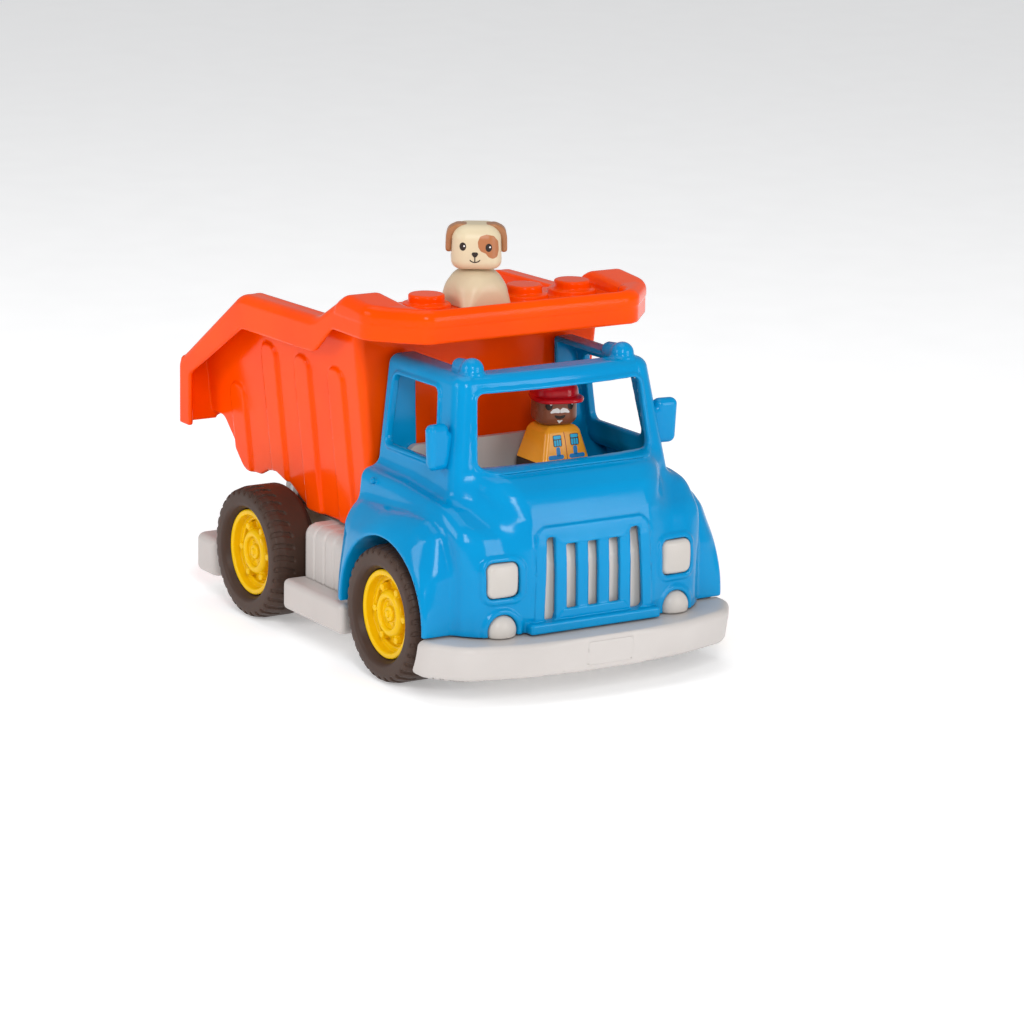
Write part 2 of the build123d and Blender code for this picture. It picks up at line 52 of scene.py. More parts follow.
def cad_box(node):
    """A CAD node's lowest and highest corners, in millimetres from the datum plane."""
    low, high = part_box(node)
    shift = np.array([0.0, 0.0, LIFT])
    return np.array(low) / MM - shift, np.array(high) / MM - shift


# --- Fields: a form is a function of x, y, z that gives the distance to its surface ---------


def both(a, b, r=0.0):
    """Where two fields overlap, with the edge between them rounded."""
    return np.minimum(np.maximum(a, b), -r) + np.hypot(np.maximum(a + r, 0), np.maximum(b + r, 0))


def either(a, b, r=0.0):
    """Two fields joined, with a fillet between them."""
    return -both(-a, -b, r)


def cut(a, b, r=0.0):
    """The first field less the second."""
    return both(a, -b, r)


def slab(v, low, high):
    return np.abs(v - (low + high) / 2) - (high - low) / 2


def bar(x, y, z, low, high, r=1.0):
    """An upright box with rounded edges."""
    qx, qy, qz = slab(x, low[0], high[0]) + r, slab(y, low[1], high[1]) + r, slab(z, low[2], high[2]) + r
    out = np.sqrt(np.maximum(qx, 0) ** 2 + np.maximum(qy, 0) ** 2 + np.maximum(qz, 0) ** 2)
    return out + np.minimum(np.maximum(np.maximum(qx, qy), qz), 0) - r


def ball(x, y, z, at, r):
    return np.sqrt((x - at[0]) ** 2 + (y - at[1]) ** 2 + (z - at[2]) ** 2) - r


def drum(across, along, radius, low, high, r=1.0):
    """A round boss: across is the distance from its axis, along the place on it."""
    return both(across - radius, slab(along, low, high), r)


def stud_field(x, y, z, at, base):
    """A round building stud: a low flange and a smaller cap."""
    across = np.hypot(x - at[0], y - at[1])
    flange = drum(across, z, STUD_FLANGE_R, base - 3, base + STUD_FLANGE_H, 0.9)
    cap = drum(across, z, STUD_CAP_R, base - 3, base + STUD_FLANGE_H + STUD_CAP_H, 1.2)
    return either(flange, cap, 0.8)


def rounded(points, radii):
    """A closed outline with its corners turned into arcs, as an array of points."""
    corners = [np.array(p, float) for p in points]
    radii = list(radii) if np.ndim(radii) else [radii] * len(corners)
    out = []
    for i, (p, r) in enumerate(zip(corners, radii)):
        to_a, to_b = corners[i - 1] - p, corners[(i + 1) % len(corners)] - p
        len_a, len_b = np.linalg.norm(to_a), np.linalg.norm(to_b)
        to_a, to_b = to_a / len_a, to_b / len_b
        half = 0.5 * math.acos(float(np.clip(to_a @ to_b, -1, 1)))
        if r <= 0 or half > 0.499 * math.pi:
            out.append(p)
            continue
        reach = min(r / math.tan(half), 0.49 * min(len_a, len_b))
        r = reach * math.tan(half)
        centre = p + (to_a + to_b) / np.linalg.norm(to_a + to_b) * r / math.sin(half)
        start, end = p + to_a * reach - centre, p + to_b * reach - centre
        a0 = math.atan2(start[1], start[0])
        turn = (math.atan2(end[1], end[0]) - a0 + math.pi) % (2 * math.pi) - math.pi
        for t in np.linspace(0, 1, max(3, int(abs(turn) * r / 0.8) + 2)):
            out.append(centre + r * np.array([math.cos(a0 + turn * t), math.sin(a0 + turn * t)]))
    return np.array(out)


def mirrored(points):
    """A half outline on the +X side, closed with its mirror image."""
    return list(points) + [(-u, v) for u, v in reversed(points)]


class Profile:
    """The signed distance to a closed outline, kept in a fine table."""

    def __init__(self, points, radii=0.0, cell=0.5, margin=22.0):
        line = rounded(points, radii)
        self.low, self.cell = line.min(0) - margin, cell
        count = np.ceil((line.max(0) + margin - self.low) / cell).astype(int) + 1
        u, v = (self.low[k] + cell * np.arange(count[k]) for k in (0, 1))
        u, v = np.meshgrid(u, v, indexing="ij")
        best, inside = np.full(u.shape, 1e9), np.zeros(u.shape, bool)
        for a, b in zip(line, np.roll(line, -1, 0)):
            d, pu, pv = b - a, u - a[0], v - a[1]
            t = np.clip((pu * d[0] + pv * d[1]) / max(d @ d, 1e-9), 0, 1)
            best = np.minimum(best, (pu - t * d[0]) ** 2 + (pv - t * d[1]) ** 2)
            if a[1] != b[1]:
                inside ^= ((a[1] > v) != (b[1] > v)) & (pu < d[0] * pv / d[1])
        self.table = np.where(inside, -1, 1) * np.sqrt(best)

    def __call__(self, u, v):
        t = self.table
        u = np.clip((u - self.low[0]) / self.cell, 0, t.shape[0] - 1.001)
        v = np.clip((v - self.low[1]) / self.cell, 0, t.shape[1] - 1.001)
        i, j = u.astype(int), v.astype(int)
        u, v = u - i, v - j
        near = t[i, j] * (1 - u) + t[i + 1, j] * u
        return near * (1 - v) + (t[i, j + 1] * (1 - u) + t[i + 1, j + 1] * u) * v


# --- Meshes from fields ---------------------------------------------------------------------
BLOCK = 8


def sample(field, low, high, cell):
    """The field on a grid: fine near its surface, and coarse elsewhere."""
    count = np.ceil((high - low) / cell / BLOCK).astype(int)
    mids = [low[k] + cell * (BLOCK * np.arange(count[k]) + (BLOCK - 1) / 2) for k in range(3)]
    coarse = field(*np.meshgrid(*mids, indexing="ij"))
    grid = coarse.repeat(BLOCK, 0).repeat(BLOCK, 1).repeat(BLOCK, 2)
    parts = grid.reshape(count[0], BLOCK, count[1], BLOCK, count[2], BLOCK)
    step = cell * np.arange(BLOCK)
    sx, sy, sz = np.meshgrid(step, step, step, indexing="ij")
    near = np.argwhere(np.abs(coarse) < 1.25 * BLOCK * cell)
    for some in np.array_split(near, max(1, len(near) // 1200)):
        at = (low + some * BLOCK * cell)[:, :, None, None, None]
        values = field(at[:, 0] + sx, at[:, 1] + sy, at[:, 2] + sz)
        parts[some[:, 0], :, some[:, 1], :, some[:, 2], :] = values
    return grid


SOFTEN = 0.05


def net(grid, field, low, cell):
    """Points and four-sided faces of the grid's zero surface, one point to each crossed cell.

    A point is drawn to where the surface's flats meet in its cell, so that edges stay crisp.
    """
    inside = grid < 0
    n = np.array(grid.shape) - 1
    corners = [(a, b, c) for a in (0, 1) for b in (0, 1) for c in (0, 1)]
    held = sum(inside[a:n[0] + a, b:n[1] + b, c:n[2] + c].astype(np.int8) for a, b, c in corners)
    active = (held > 0) & (held < 8)
    cells = np.argwhere(active)
    number = np.full(n, -1, np.int64)
    number[active] = np.arange(len(cells))
    pairs = [(0, 0), (0, 1), (0, 2), (1, 1), (1, 2), (2, 2)]
    sums = np.zeros((13, len(cells)))
    faces = []
    for axis in range(3):
        unit, du, dv = (np.eye(3, dtype=int)[(axis + k) % 3] for k in range(3))
        end = n + 1 - unit
        first = inside[:end[0], :end[1], :end[2]]
        second = inside[unit[0]:, unit[1]:, unit[2]:]
        at = np.argwhere(first != second)
        at = at[np.all((at * (du + dv) < n) & ((at > 0) | (du + dv == 0)), axis=1)]
        fa, fb = grid[tuple(at.T)], grid[tuple((at + unit).T)]
        place = low + cell * (at + unit * (fa / (fa - fb))[:, None])
        lean = slope(field, place, 0.15)
        lean /= np.maximum(np.linalg.norm(lean, axis=1), 1e-6)[:, None]
        reach = (lean * place).sum(1)
        rows = [lean[:, i] * lean[:, j] for i, j in pairs] + [lean[:, i] * reach for i in range(3)]
        rows += [place[:, i] for i in range(3)] + [np.ones(len(place))]
        ring = np.stack([number[tuple((at - s).T)] for s in (du + dv, dv, 0 * du, du)], 1)
        for row, values in enumerate(rows):
            for k in range(4):
                sums[row] += np.bincount(ring[:, k], values, len(cells))
        out = first[tuple(at.T)]
        faces.append(np.where(out[:, None], ring, ring[:, ::-1]))
    hits = np.maximum(sums[12], 1)
    middle = (sums[9:12] / hits).T
    square = np.empty((len(cells), 3, 3))
    for row, (i, j) in enumerate(pairs):
        square[:, i, j] = square[:, j, i] = sums[row]
    pull = sums[6:9].T - np.einsum("nij,nj->ni", square, middle)
    square += (SOFTEN * hits)[:, None, None] * np.eye(3)
    points = middle + np.linalg.solve(square, pull[:, :, None])[:, :, 0]
    points = np.clip(points, low + cell * (cells - 0.1), low + cell * (cells + 1.1))
    return points, np.concatenate(faces)


def slope(field, p, h):
    """The field's gradient at points p."""
    g = np.empty_like(p)
    for k in range(3):
        step = h * np.eye(3)[k]
        g[:, k] = (field(*(p + step).T) - field(*(p - step).T)) / (2 * h)
    return g


def grow(field, low, high, cell, margin=2.5):
    """Points, faces and normals of a field's surface inside a box, in millimetres."""
    low, high = np.array(low, float) - margin, np.array(high, float) + margin
    points, faces = net(sample(field, low, high, cell), field, low, cell)
    for _ in range(2):
        g = slope(field, points, 0.12)
        size = np.maximum((g * g).sum(1), 0.05)
        move = g * (field(*points.T) / size)[:, None]
        points = points - np.clip(move, -0.3 * cell, 0.3 * cell)
    normals = slope(field, points, 0.3)
    return points, faces, normals / np.maximum(np.linalg.norm(normals, axis=1), 1e-6)[:, None]


def mesh_piece(name, points, faces, normals, material, body, stands_for=(), slot=None, flip=False):
    """A smooth mesh piece that rides on a body and stands for CAD nodes. flip makes the mirror image."""
    if flip:
        points, normals, faces = points * [-1, 1, 1], normals * [-1, 1, 1], faces[:, ::-1]
    mesh = bpy.data.meshes.new(name)
    mesh.vertices.add(len(points))
    mesh.vertices.foreach_set("co", ((points + [0, 0, LIFT]) * MM).astype(np.float32).ravel())
    sides = faces.shape[1]
    mesh.loops.add(faces.size)
    mesh.loops.foreach_set("vertex_index", faces.astype(np.int32).ravel())
    mesh.polygons.add(len(faces))
    mesh.polygons.foreach_set("loop_start", np.arange(0, faces.size, sides, dtype=np.int32))
    mesh.update(calc_edges=True)
    mesh.validate()
    mesh.polygons.foreach_set("use_smooth", [True] * len(mesh.polygons))
    if normals is not None and len(mesh.polygons) == len(faces):
        mesh.normals_split_custom_set_from_vertices(normals.tolist())
    mesh.materials.append(material)
    piece = bpy.data.objects.new(name, mesh)
    bpy.context.scene.collection.objects.link(piece)
    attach(piece, body)
    if stands_for:
        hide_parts(*([stands_for] if isinstance(stands_for, str) else stands_for))
    return piece


# --- Driving sizes, from the frame ----------------------------------------------------------
tyre_low, tyre_high = cad_box("front_tyre_left")
bed_low, bed_high = cad_box("bed_shell")
bumper_low, bumper_high = cad_box("front_bumper")
step_low, step_high = cad_box("step_left")
tank_low, tank_high = cad_box("tank_left")
tail_low, tail_high = cad_box("rear_bumper")

TYRE_R = (tyre_high[2] - tyre_low[2]) / 2
TYRE_IN, TYRE_OUT = tyre_low[0], tyre_high[0]
AXLE_Z = (tyre_low[2] + tyre_high[2]) / 2
FRONT_Y = (tyre_low[1] + tyre_high[1]) / 2
REAR_Y = float(np.mean([cad_box("rear_tyre_left")[k][1] for k in (0, 1)]))
STUD_FLANGE_R, STUD_FLANGE_H = 13.7, 3.0
STUD_CAP_R, STUD_CAP_H = 10.2, 5.0
PITCH = 31.75

# --- Cab ------------------------------------------------------------------------------------
CAB_REAR, CAB_FOOT, ROOF_Z = -31.0, 33.0, 169.0
REAR_LEAN, CAB_WALL = 0.05, 3.4
DOOR_HALF, FENDER_HALF, ARCH_R, LIP = 84.0, 98.0, 44.0, 2.8
NOTCH_HALF = 46.5
BOW = 4.0

door_side = Profile(
    [(10, 0), (10, 108), (-70, 106.5), (-118, 102), (-137, 89), (-145.2, 67), (-148, 0)],
    [0, 0, 30, 22, 18, 30, 0],
)
door_plan = Profile(
    mirrored([(DOOR_HALF, 10), (DOOR_HALF, -104), (78.5, -133), (68, -143.5), (40, -147.5)]),
    [0, 16, 12, 12, 60, 60, 12, 12, 16, 0],
)
door_front = Profile(
    mirrored([(DOOR_HALF, 0), (DOOR_HALF, 90), (81.5, 106), (70, 114)]),
    [0, 16, 9, 0, 0, 9, 16, 0],
)
hood_side = Profile(
    [(-60, 40), (-60, 119), (-116, 119), (-128, 115.5), (-137, 108), (-143.5, 95), (-146.5, 80), (-148, 40)],
    [0, 0, 12, 14, 12, 10, 14, 0],
)
hood_plan = Profile(mirrored([(64, -60), (61, -116), (52, -132), (41.5, -149)]), [0, 10, 20, 3, 3, 20, 10, 0])
house_side = Profile([(10, 60), (10, 220), (-96.3, 220), (-124, 60)])
house_front = Profile(mirrored([(77.4, 60), (54.8, 220)]))
fender_root = Profile(
    [(-20, 0), (-20, 86), (-40, 92), (-66, 93), (-91, 95), (-110, 95), (-122, 88), (-129, 66), (-130, 0)],
    [0, 14, 20, 10, 10, 16, 12, 20, 0],
)
windscreen = Profile(mirrored([(55.5, 119.8), (52.2, 159.4)]), 4.0)
side_window = Profile([(-38, 159), (-85, 160), (-92.5, 121), (-38.5, 120.5)], 4.0)
grille_outer = Profile(mirrored([(38.2, 34), (36.4, 91)]), [0, 7, 7, 0])
grille_inner = Profile(
    mirrored([(32, 39.3), (30, 85.4), (25, 85), (20.5, 80.6)]),
    [2, 2, 1.5, 1.5, 1.5, 1.5, 2, 2],
)
grille_sill = Profile(mirrored([(25.5, 32), (24.5, 39.3), (19.5, 44.6)]), [0, 1.5, 1.5, 1.5, 1.5, 0])
LAMP_X, LAMP_Z, FOG_Z = 56.2, 63.9, 35.9
LAMP_HALF, FOG_R = 9.9, 8.9
GRILLE_BARS, BAR_HALF = (6.8, 20.7), 3.5
NOSE_Y = -125.0
MARKER_X, MARKER_Y, MARKER_Z, MARKER_R = 48.8, -95.7, 170.8, 6.5
lamp_square = Profile(
    [(LAMP_X + a * LAMP_HALF, LAMP_Z + b * LAMP_HALF) for a, b in ((-1, -1), (1, -1), (1, 1), (-1, 1))],
    4.2,
)


def arch(y, z):
    """The distance to a wheel arch's half-round, with straight legs below the axle."""
    return np.hypot(y - FRONT_Y, np.maximum(z - AXLE_Z, 0)) - ARCH_R


def rear_edge(y, z):
    """The cab's rear plane, which leans back above the doors."""
    return y - CAB_REAR - REAR_LEAN * np.maximum(z - 100, 0)


def cab_core(x, y, z):
    """The doors, hood and window band as one closed form, on the +X side."""
    body = both(both(door_side(y, z), door_plan(x, y), 8), door_front(x, z), 4)
    hood = both(hood_side(y, z), hood_plan(x, y), 10)
    bowed = y + BOW * (1 - np.minimum(x / 52, 1) ** 2)
    house = both(both(house_side(bowed, z), house_front(x, z), 9), z - ROOF_Z, 5.5)
    return either(either(body, hood, 8), house, 5)


def cab_form(x, y, z, core):
    """The core with its fenders swept out to the wheel arches, cut off at the rear."""
    out = np.clip((x - DOOR_HALF + 6) / (FENDER_HALF - DOOR_HALF + 6), 0, 1.2) ** 2.4
    flare = fender_root(y, z) * (1 - out) + (arch(y, z) - LIP) * out
    flare = both(flare, x - FENDER_HALF, 3)
    flare = both(flare, 70 - x, 0)
    return both(either(core, flare, 3.5), rear_edge(y, z), 3)


def bumped(form, region, height, r):
    """A raised pad of some height where region holds, laid over a form."""
    return both(region, form - height, r)


def marker_lamp(x, y, z):
    """A roof marker: a round bulb with a cone tail to the rear."""
    across, along = x - MARKER_X, y - MARKER_Y
    bulb = ball(across, along, z, (0, 0, MARKER_Z), MARKER_R)
    tail = both(np.hypot(across, z - 170.4) - (5.9 - 0.1 * along), slab(along, 0, 15), 0.8)
    foot = drum(np.hypot(across, along), z, 7.4, 166, 169.9, 0.6)
    return either(either(bulb, tail, 0.8), foot, 0.8)


def cab_shell(x, y, z):
    x = np.abs(x)
    core = cab_core(x, y, z)
    form = cab_form(x, y, z, core)
    well = both(arch(y, z), 64.6 - x, 3)
    solid = cut(form, well, 1.2)
    solid = either(solid, bumped(form, grille_outer(x, z), 2.2, 1.1), 0.7)
    lamp, fog = lamp_square(x, z), np.hypot(x - LAMP_X, z - FOG_Z) - FOG_R
    nose = y - NOSE_Y
    solid = either(solid, both(np.hypot(lamp - 1.6, form) - 1.9, nose), 1.0)
    solid = either(solid, both(np.hypot(fog - 1.6, form + 0.2) - 1.9, nose), 1.0)
    solid = either(solid, bar(x, y, z, (-1, -151, 29.4), (42, -138, 38.8), 1.6), 1.0)
    hollow = both(both(core, rear_edge(y, z), 3) + CAB_WALL, CAB_WALL - well, 1.5)
    shell = cut(solid, hollow, 0.6)
    # thin rims about the windscreen and the side windows, and their openings
    shell = either(shell, both(np.hypot(windscreen(x, z) - 1.2, form + 0.1) - 1.5, y + 98), 0.8)
    shell = either(shell, both(np.hypot(side_window(y, z) - 1.2, form + 0.1) - 1.4, 50 - x), 0.8)
    shell = cut(shell, both(windscreen(x, z), y + 95), 0.8)
    shell = cut(shell, both(side_window(y, z), 52 - x), 0.8)
    roof_gap = both(both(x - NOTCH_HALF, -92.5 - y, 5), 150 - z)
    shell = cut(shell, either(roof_gap, both(x - NOTCH_HALF, both(-38 - y, 60.5 - z))), 0.9)
    shell = cut(shell, both(x - 60, both(-38 - y, z - 60.5)), 0.3)
    # the grille: an open frame with a stepped sill and header, and four upright bars
    hole = cut(grille_inner(x, z), grille_sill(x, z), 0.8)
    shell = cut(shell, both(hole, y + 130), 0.7)
    bars = np.minimum(np.abs(x - GRILLE_BARS[0]), np.abs(x - GRILLE_BARS[1])) - BAR_HALF
    bars = both(bars, both(form - 1.2, -(form + 5.0), 0.8), 1.0)
    bars = both(bars, both(slab(z, 38, 87), y + 130))
    shell = either(shell, bars, 0.9)
    shell = cut(shell, both(lamp, nose), 0.5)
    shell = cut(shell, both(fog, nose), 0.5)
    shell = both(shell, CAB_FOOT - z, 0.9)
    axle_slot = np.hypot(y - FRONT_Y, np.maximum(z - AXLE_Z, 0)) - 6
    shell = cut(shell, both(axle_slot, x - 72), 0.5)
    grip = np.sqrt(((y + 44) / 1.9) ** 2 + (z - 102.6) ** 2 + (x - 84.6) ** 2) - 3.4
    shell = cut(shell, grip, 0.6)
    shell = either(shell, ball(x, y, z, (82.6, -47.5, 102.2), 2.0), 0.4)
    return either(shell, marker_lamp(x, y, z), 0.8)


def mirror_pod(x, y, z):
    x, lean = np.abs(x), (z - 131.4) * 0.05
    pod = bar(x - lean, y + (x - 72) * 0.12, z, (66.5, -105.2, 118.6), (80.6, -97, 144.2), 3.9)
    neck = bar(x, y, z, (62, -104, 123), (70, -98, 139), 2.4)
    return either(pod, neck, 2.0)


def lamp_insert(x, y, z):
    """The grey backing behind the grille, with the lamps moulded on it."""
    x = np.abs(x)
    back = bar(x, y, z, (-1, -139, 33.5), (64, -136.5, 74), 0.5)
    leaning = y - 0.25 * np.maximum(z - 70, 0)
    back = either(back, bar(x, leaning, z, (-1, -142.3, 33.5), (34, -138, 87.5), 0.5), 0.3)
    lens = both(lamp_square(x, z) + 0.35, -145.9 + 0.012 * ((x - LAMP_X) ** 2 + (z - LAMP_Z) ** 2) - y, 2.2)
    dome = np.sqrt((x - LAMP_X) ** 2 + (z - FOG_Z) ** 2 + ((y + 143) / 0.62) ** 2) - 8.5
    stem = np.hypot(x - LAMP_X, z - FOG_Z) - 8.5
    fog = both(either(dome, both(stem, -143 - y), 0.5), y + 137)
    return both(either(either(back, both(lens, y + 137), 0.4), fog, 0.4), 32.5 - z, 0.6)


# --- Bumpers, steps and tanks ---------------------------------------------------------------
BUMPER_HALF, BUMPER_NOSE = bumper_high[0], bumper_low[1] + 0.8
PLATE_HALF, PLATE_TALL, PLATE_Z, PLATE_OUT = 14.3, 6.6, 22.8, 0.75
STEP_WALL, TANK_WALL = 3.0, 3.2
FLUTE_PITCH, LINE_PITCH = 11.1, 2.2
bumper_plan = Profile(
    mirrored([(BUMPER_HALF, -100), (BUMPER_HALF, -133), (86, -151.5), (52, -161.5), (18, BUMPER_NOSE)]),
    [0, 16, 22, 60, 90, 90, 60, 22, 16, 0],
)


def front_bumper(x, y, z):
    x = np.abs(x)
    sloped = y + 0.2 * (z - 20)
    body = both(bumper_plan(x, np.maximum(sloped, BUMPER_NOSE)), slab(z, bumper_low[2], bumper_high[2]), 4.2)
    body = both(body, BUMPER_NOSE - y, 1.0)
    inner = both(bumper_plan(x, y) + 3.2, z - 29.5, 1.5)
    body = cut(body, inner, 0.8)
    wheel = np.hypot(y - FRONT_Y, z - AXLE_Z) - TYRE_R - 4
    body = cut(body, both(wheel, 60 - x), 1.6)
    body = both(body, y + 112, 0.8)
    edge = both(x - PLATE_HALF, np.abs(z - PLATE_Z) - PLATE_TALL, 1.2)
    plate = both(edge, both(body - PLATE_OUT, y + 150), 0.4)
    bracket = bar(x, y, z, (-1, -122, 14), (39.5, -112.5, 30), 1)
    rib = both(np.abs(x - 30) - 1.3, both(slab(z, 14, 28), both(y + 114, bumper_plan(x, y) + 1)))
    body = either(body, both(bracket, -119.05 - y), 0.0)
    return either(either(body, plate, 0.3), rib, 0.5)


def rear_bumper(x, y, z):
    x = np.abs(x)
    plan = both(x - tail_high[0], slab(y, tail_low[1], tail_high[1]), 6.5)
    return both(plan, slab(z, tail_low[2], tail_high[2]), 4.0)


def step_box(x, y, z):
    x = np.abs(x)
    low, high = step_low - [4, 0, 0], step_high
    body = bar(x, y, z, low, high, 3.4)
    body = both(body, step_low[0] - x, 0.3)
    hollow = bar(x, y, z, (61, step_low[1] + STEP_WALL, 0), step_high - STEP_WALL, 1.5)
    return cut(body, hollow, 0.8)


def side_tank(x, y, z):
    """A ribbed tank: four broad flutes with fine lines between them."""
    x = np.abs(x)
    middle = (tank_low[1] + tank_high[1]) / 2
    wave = np.abs((y - middle + FLUTE_PITCH / 2) % FLUTE_PITCH - FLUTE_PITCH / 2)
    fine = 0.16 * np.cos(2 * np.pi * (y - middle) / LINE_PITCH)
    sunk = np.maximum(0, wave - FLUTE_PITCH / 2 + 1.4) * 0.75 + fine * 0.35
    section = both(x - tank_high[0] + 0.1, z - tank_high[2] + 0.1, 7.5) + sunk
    body = both(section, slab(y, tank_low[1], tank_high[1]), 2.6)
    body = both(body, both(tank_low[0] - x, tank_low[2] - z, 0.3), 0.3)
    far = tank_high - [TANK_WALL, 3, 3.4]
    hollow = bar(x, y, z, (50, tank_low[1] + 3, 0), far, 2)
    return cut(body, hollow, 0.6)


# --- Wheels ---------------------------------------------------------------------------------
tyre_section = Profile(
    [
        (25, TYRE_IN + 2), (27.5, TYRE_IN), (35, TYRE_IN), (TYRE_R, TYRE_IN + 4.5), (TYRE_R, TYRE_OUT - 7),
        (TYRE_R - 1.6, TYRE_OUT - 0.6), (33, TYRE_OUT), (27.6, TYRE_OUT), (25.4, TYRE_OUT - 5),
        (25, TYRE_OUT - 10),
    ],
    [0.5, 1.5, 3, 4, 5, 4, 6, 3, 4, 0.3],
    cell=0.25,
)
LUGS = 34
SLOT_HALF, SLOT_DEEP, SLOT_FOOT, SLOT_LONG = 1.35, 0.75, 34.6, 12.5
HUB_IN, HUB_OUT, HUB_R = 71.0, 94.6, 25.0


def tyre(x, y, z):
    """A soft tyre with short round-ended slots over its outer shoulder, about the X axis."""
    x, across = np.abs(x), np.hypot(y, z)
    body = tyre_section(across, x)
    # how far a point is round the shoulder, from the side wall to the tread
    round_in = np.clip((across - 33.6) / 4.9, 0, 1) + np.clip((TYRE_OUT - 4 - x) / 9, 0, 1.3)
    bend = 0.04 * np.sin(np.clip(round_in, 0, 2) * 1.9)
    spot = (np.arctan2(z, y) + bend) % (2 * np.pi / LUGS) - np.pi / LUGS
    ends = np.maximum(SLOT_FOOT - across, TYRE_OUT - SLOT_LONG - x)
    slot = both(np.abs(spot) * across - SLOT_HALF, ends, 1.2)
    return cut(body, np.maximum(slot, -(body + SLOT_DEEP)), 0.3)


def hub(x, y, z):
    """A wheel hub about the X axis: ring, dish, and a boss held by six arms."""
    x, across = np.abs(x), np.hypot(y, z)
    ring = both(slab(across, 21.6, HUB_R - 0.05), slab(x, HUB_IN, HUB_OUT), 1.1)
    step = both(slab(across, 18.5, 22.5), slab(x, 82, 89.4), 0.9)
    dish = both(across - 23, slab(x, 84, 87.2), 0.5)
    boss = both(across - 13.4, slab(x, 82, 93.4), 3.2)
    boss = cut(boss, both(across - 8.6, 90.6 - x, 0.6), 1.4)
    cap = both(across - 4.3, slab(x, 85, 92.6), 0.8)
    pin = both(across - 1.9, slab(x, 85, 93.8), 0.6)
    sector = (np.arctan2(z, y) + np.pi / 6) % (np.pi / 3) - np.pi / 6
    u, v = across * np.cos(sector), across * np.sin(sector)
    knob = both(np.hypot(u - 15.6, v) - 2.1, slab(x, 84, 92.6), 0.7)
    arm = both(both(slab(u, 10, 17.6), np.abs(v) - 2.0, 0.8), slab(x, 84, 90.6), 0.8)
    dots = both(np.hypot(u - 6.1, v) - 0.8, slab(x, 88, 91.4), 0.3)
    sleeve = both(slab(across, 2.6, 6), slab(x, HUB_IN, 86), 0.5)
    out = either(either(ring, step, 0.6), dish, 0.8)
    out = either(out, boss, 1.6)
    out = either(either(out, either(cap, pin, 0.5), 0.7), dots, 0.3)
    return either(either(out, either(arm, knob, 0.8), 0.9), sleeve, 1.0)


# --- Tipping bed ----------------------------------------------------------------------------
BED_FRONT, BED_REAR, BED_FLOOR = -24.0, 166.0, 79.0
HINGE_Y, HINGE_Z, PIN_R, LUG_R = 90.0, 66.0, 2.56, 6.0
DECK_TOP, STUD_ROW = 196.0, -44.0
RIM_HALF, RIM_EDGE = bed_high[0], 5.5

tub_side = Profile(
    [(BED_FRONT, 215), (BED_FRONT, 64), (48, 63), (56, 64.7), (73, 74), (86, 78), (99, 75.8), (109, 71.2),
     (125, 70.5), (149, 99), (180, 99), (180, 215)],
    [0, 4, 6, 10, 14, 10, 8, 8, 10, 8, 0, 0],
)
tub_front = Profile(mirrored([(66.6, 50), (85.3, 225)]))
rim_top = Profile(
    [(-100, 201.5), (-58, 201.5), (-28, 204), (4, 186), (93, 184), (194, 114.8), (194, 20), (-100, 20)],
    [0, 26, 11, 24, 20, 0, 0, 0],
)
rim_skirt = Profile(
    [(-100, 230), (190, 230), (190, 94), (153, 94), (153, 126), (90, 164), (4, 166), (-16, 183), (-100, 183)],
    [0, 0, 0, 2, 4, 12, 14, 8, 0],
)
rim_plan = Profile(mirrored([(RIM_HALF, 190), (RIM_HALF, -53), (68, bed_low[1])]), [0, 14, 14, 14, 14, 0])
room_side = Profile(
    [(BED_FRONT + WALL, 240), (BED_FRONT + WALL, BED_FLOOR + WALL), (131, BED_FLOOR + WALL), (147, 102),
     (190, 102), (190, 240)],
    [0, 4, 12, 6, 0, 0],
)
under_side = Profile(
    [(BED_FRONT + WALL, 30), (BED_FRONT + WALL, BED_FLOOR), (131, BED_FLOOR), (149, 97), (190, 96),
     (190, 30)],
    [0, 2, 12, 6, 0, 0],
)
# each rib: its middle along the bed, its foot and its round top
RIBS = ((4, 60, 156), (43, 60, 156), (82, 60, 156), (126, 60, 124))
RIB_HALF, WEB_LOW = 9, 94.5


def rib_outline(y, low, top):
    front, rear = y - RIB_HALF, y + RIB_HALF
    return Profile([(front, low), (front, top), (rear, top), (rear, low)], [0, 8, 8, 0])


rib_outlines = [rib_outline(*rib) for rib in RIBS]


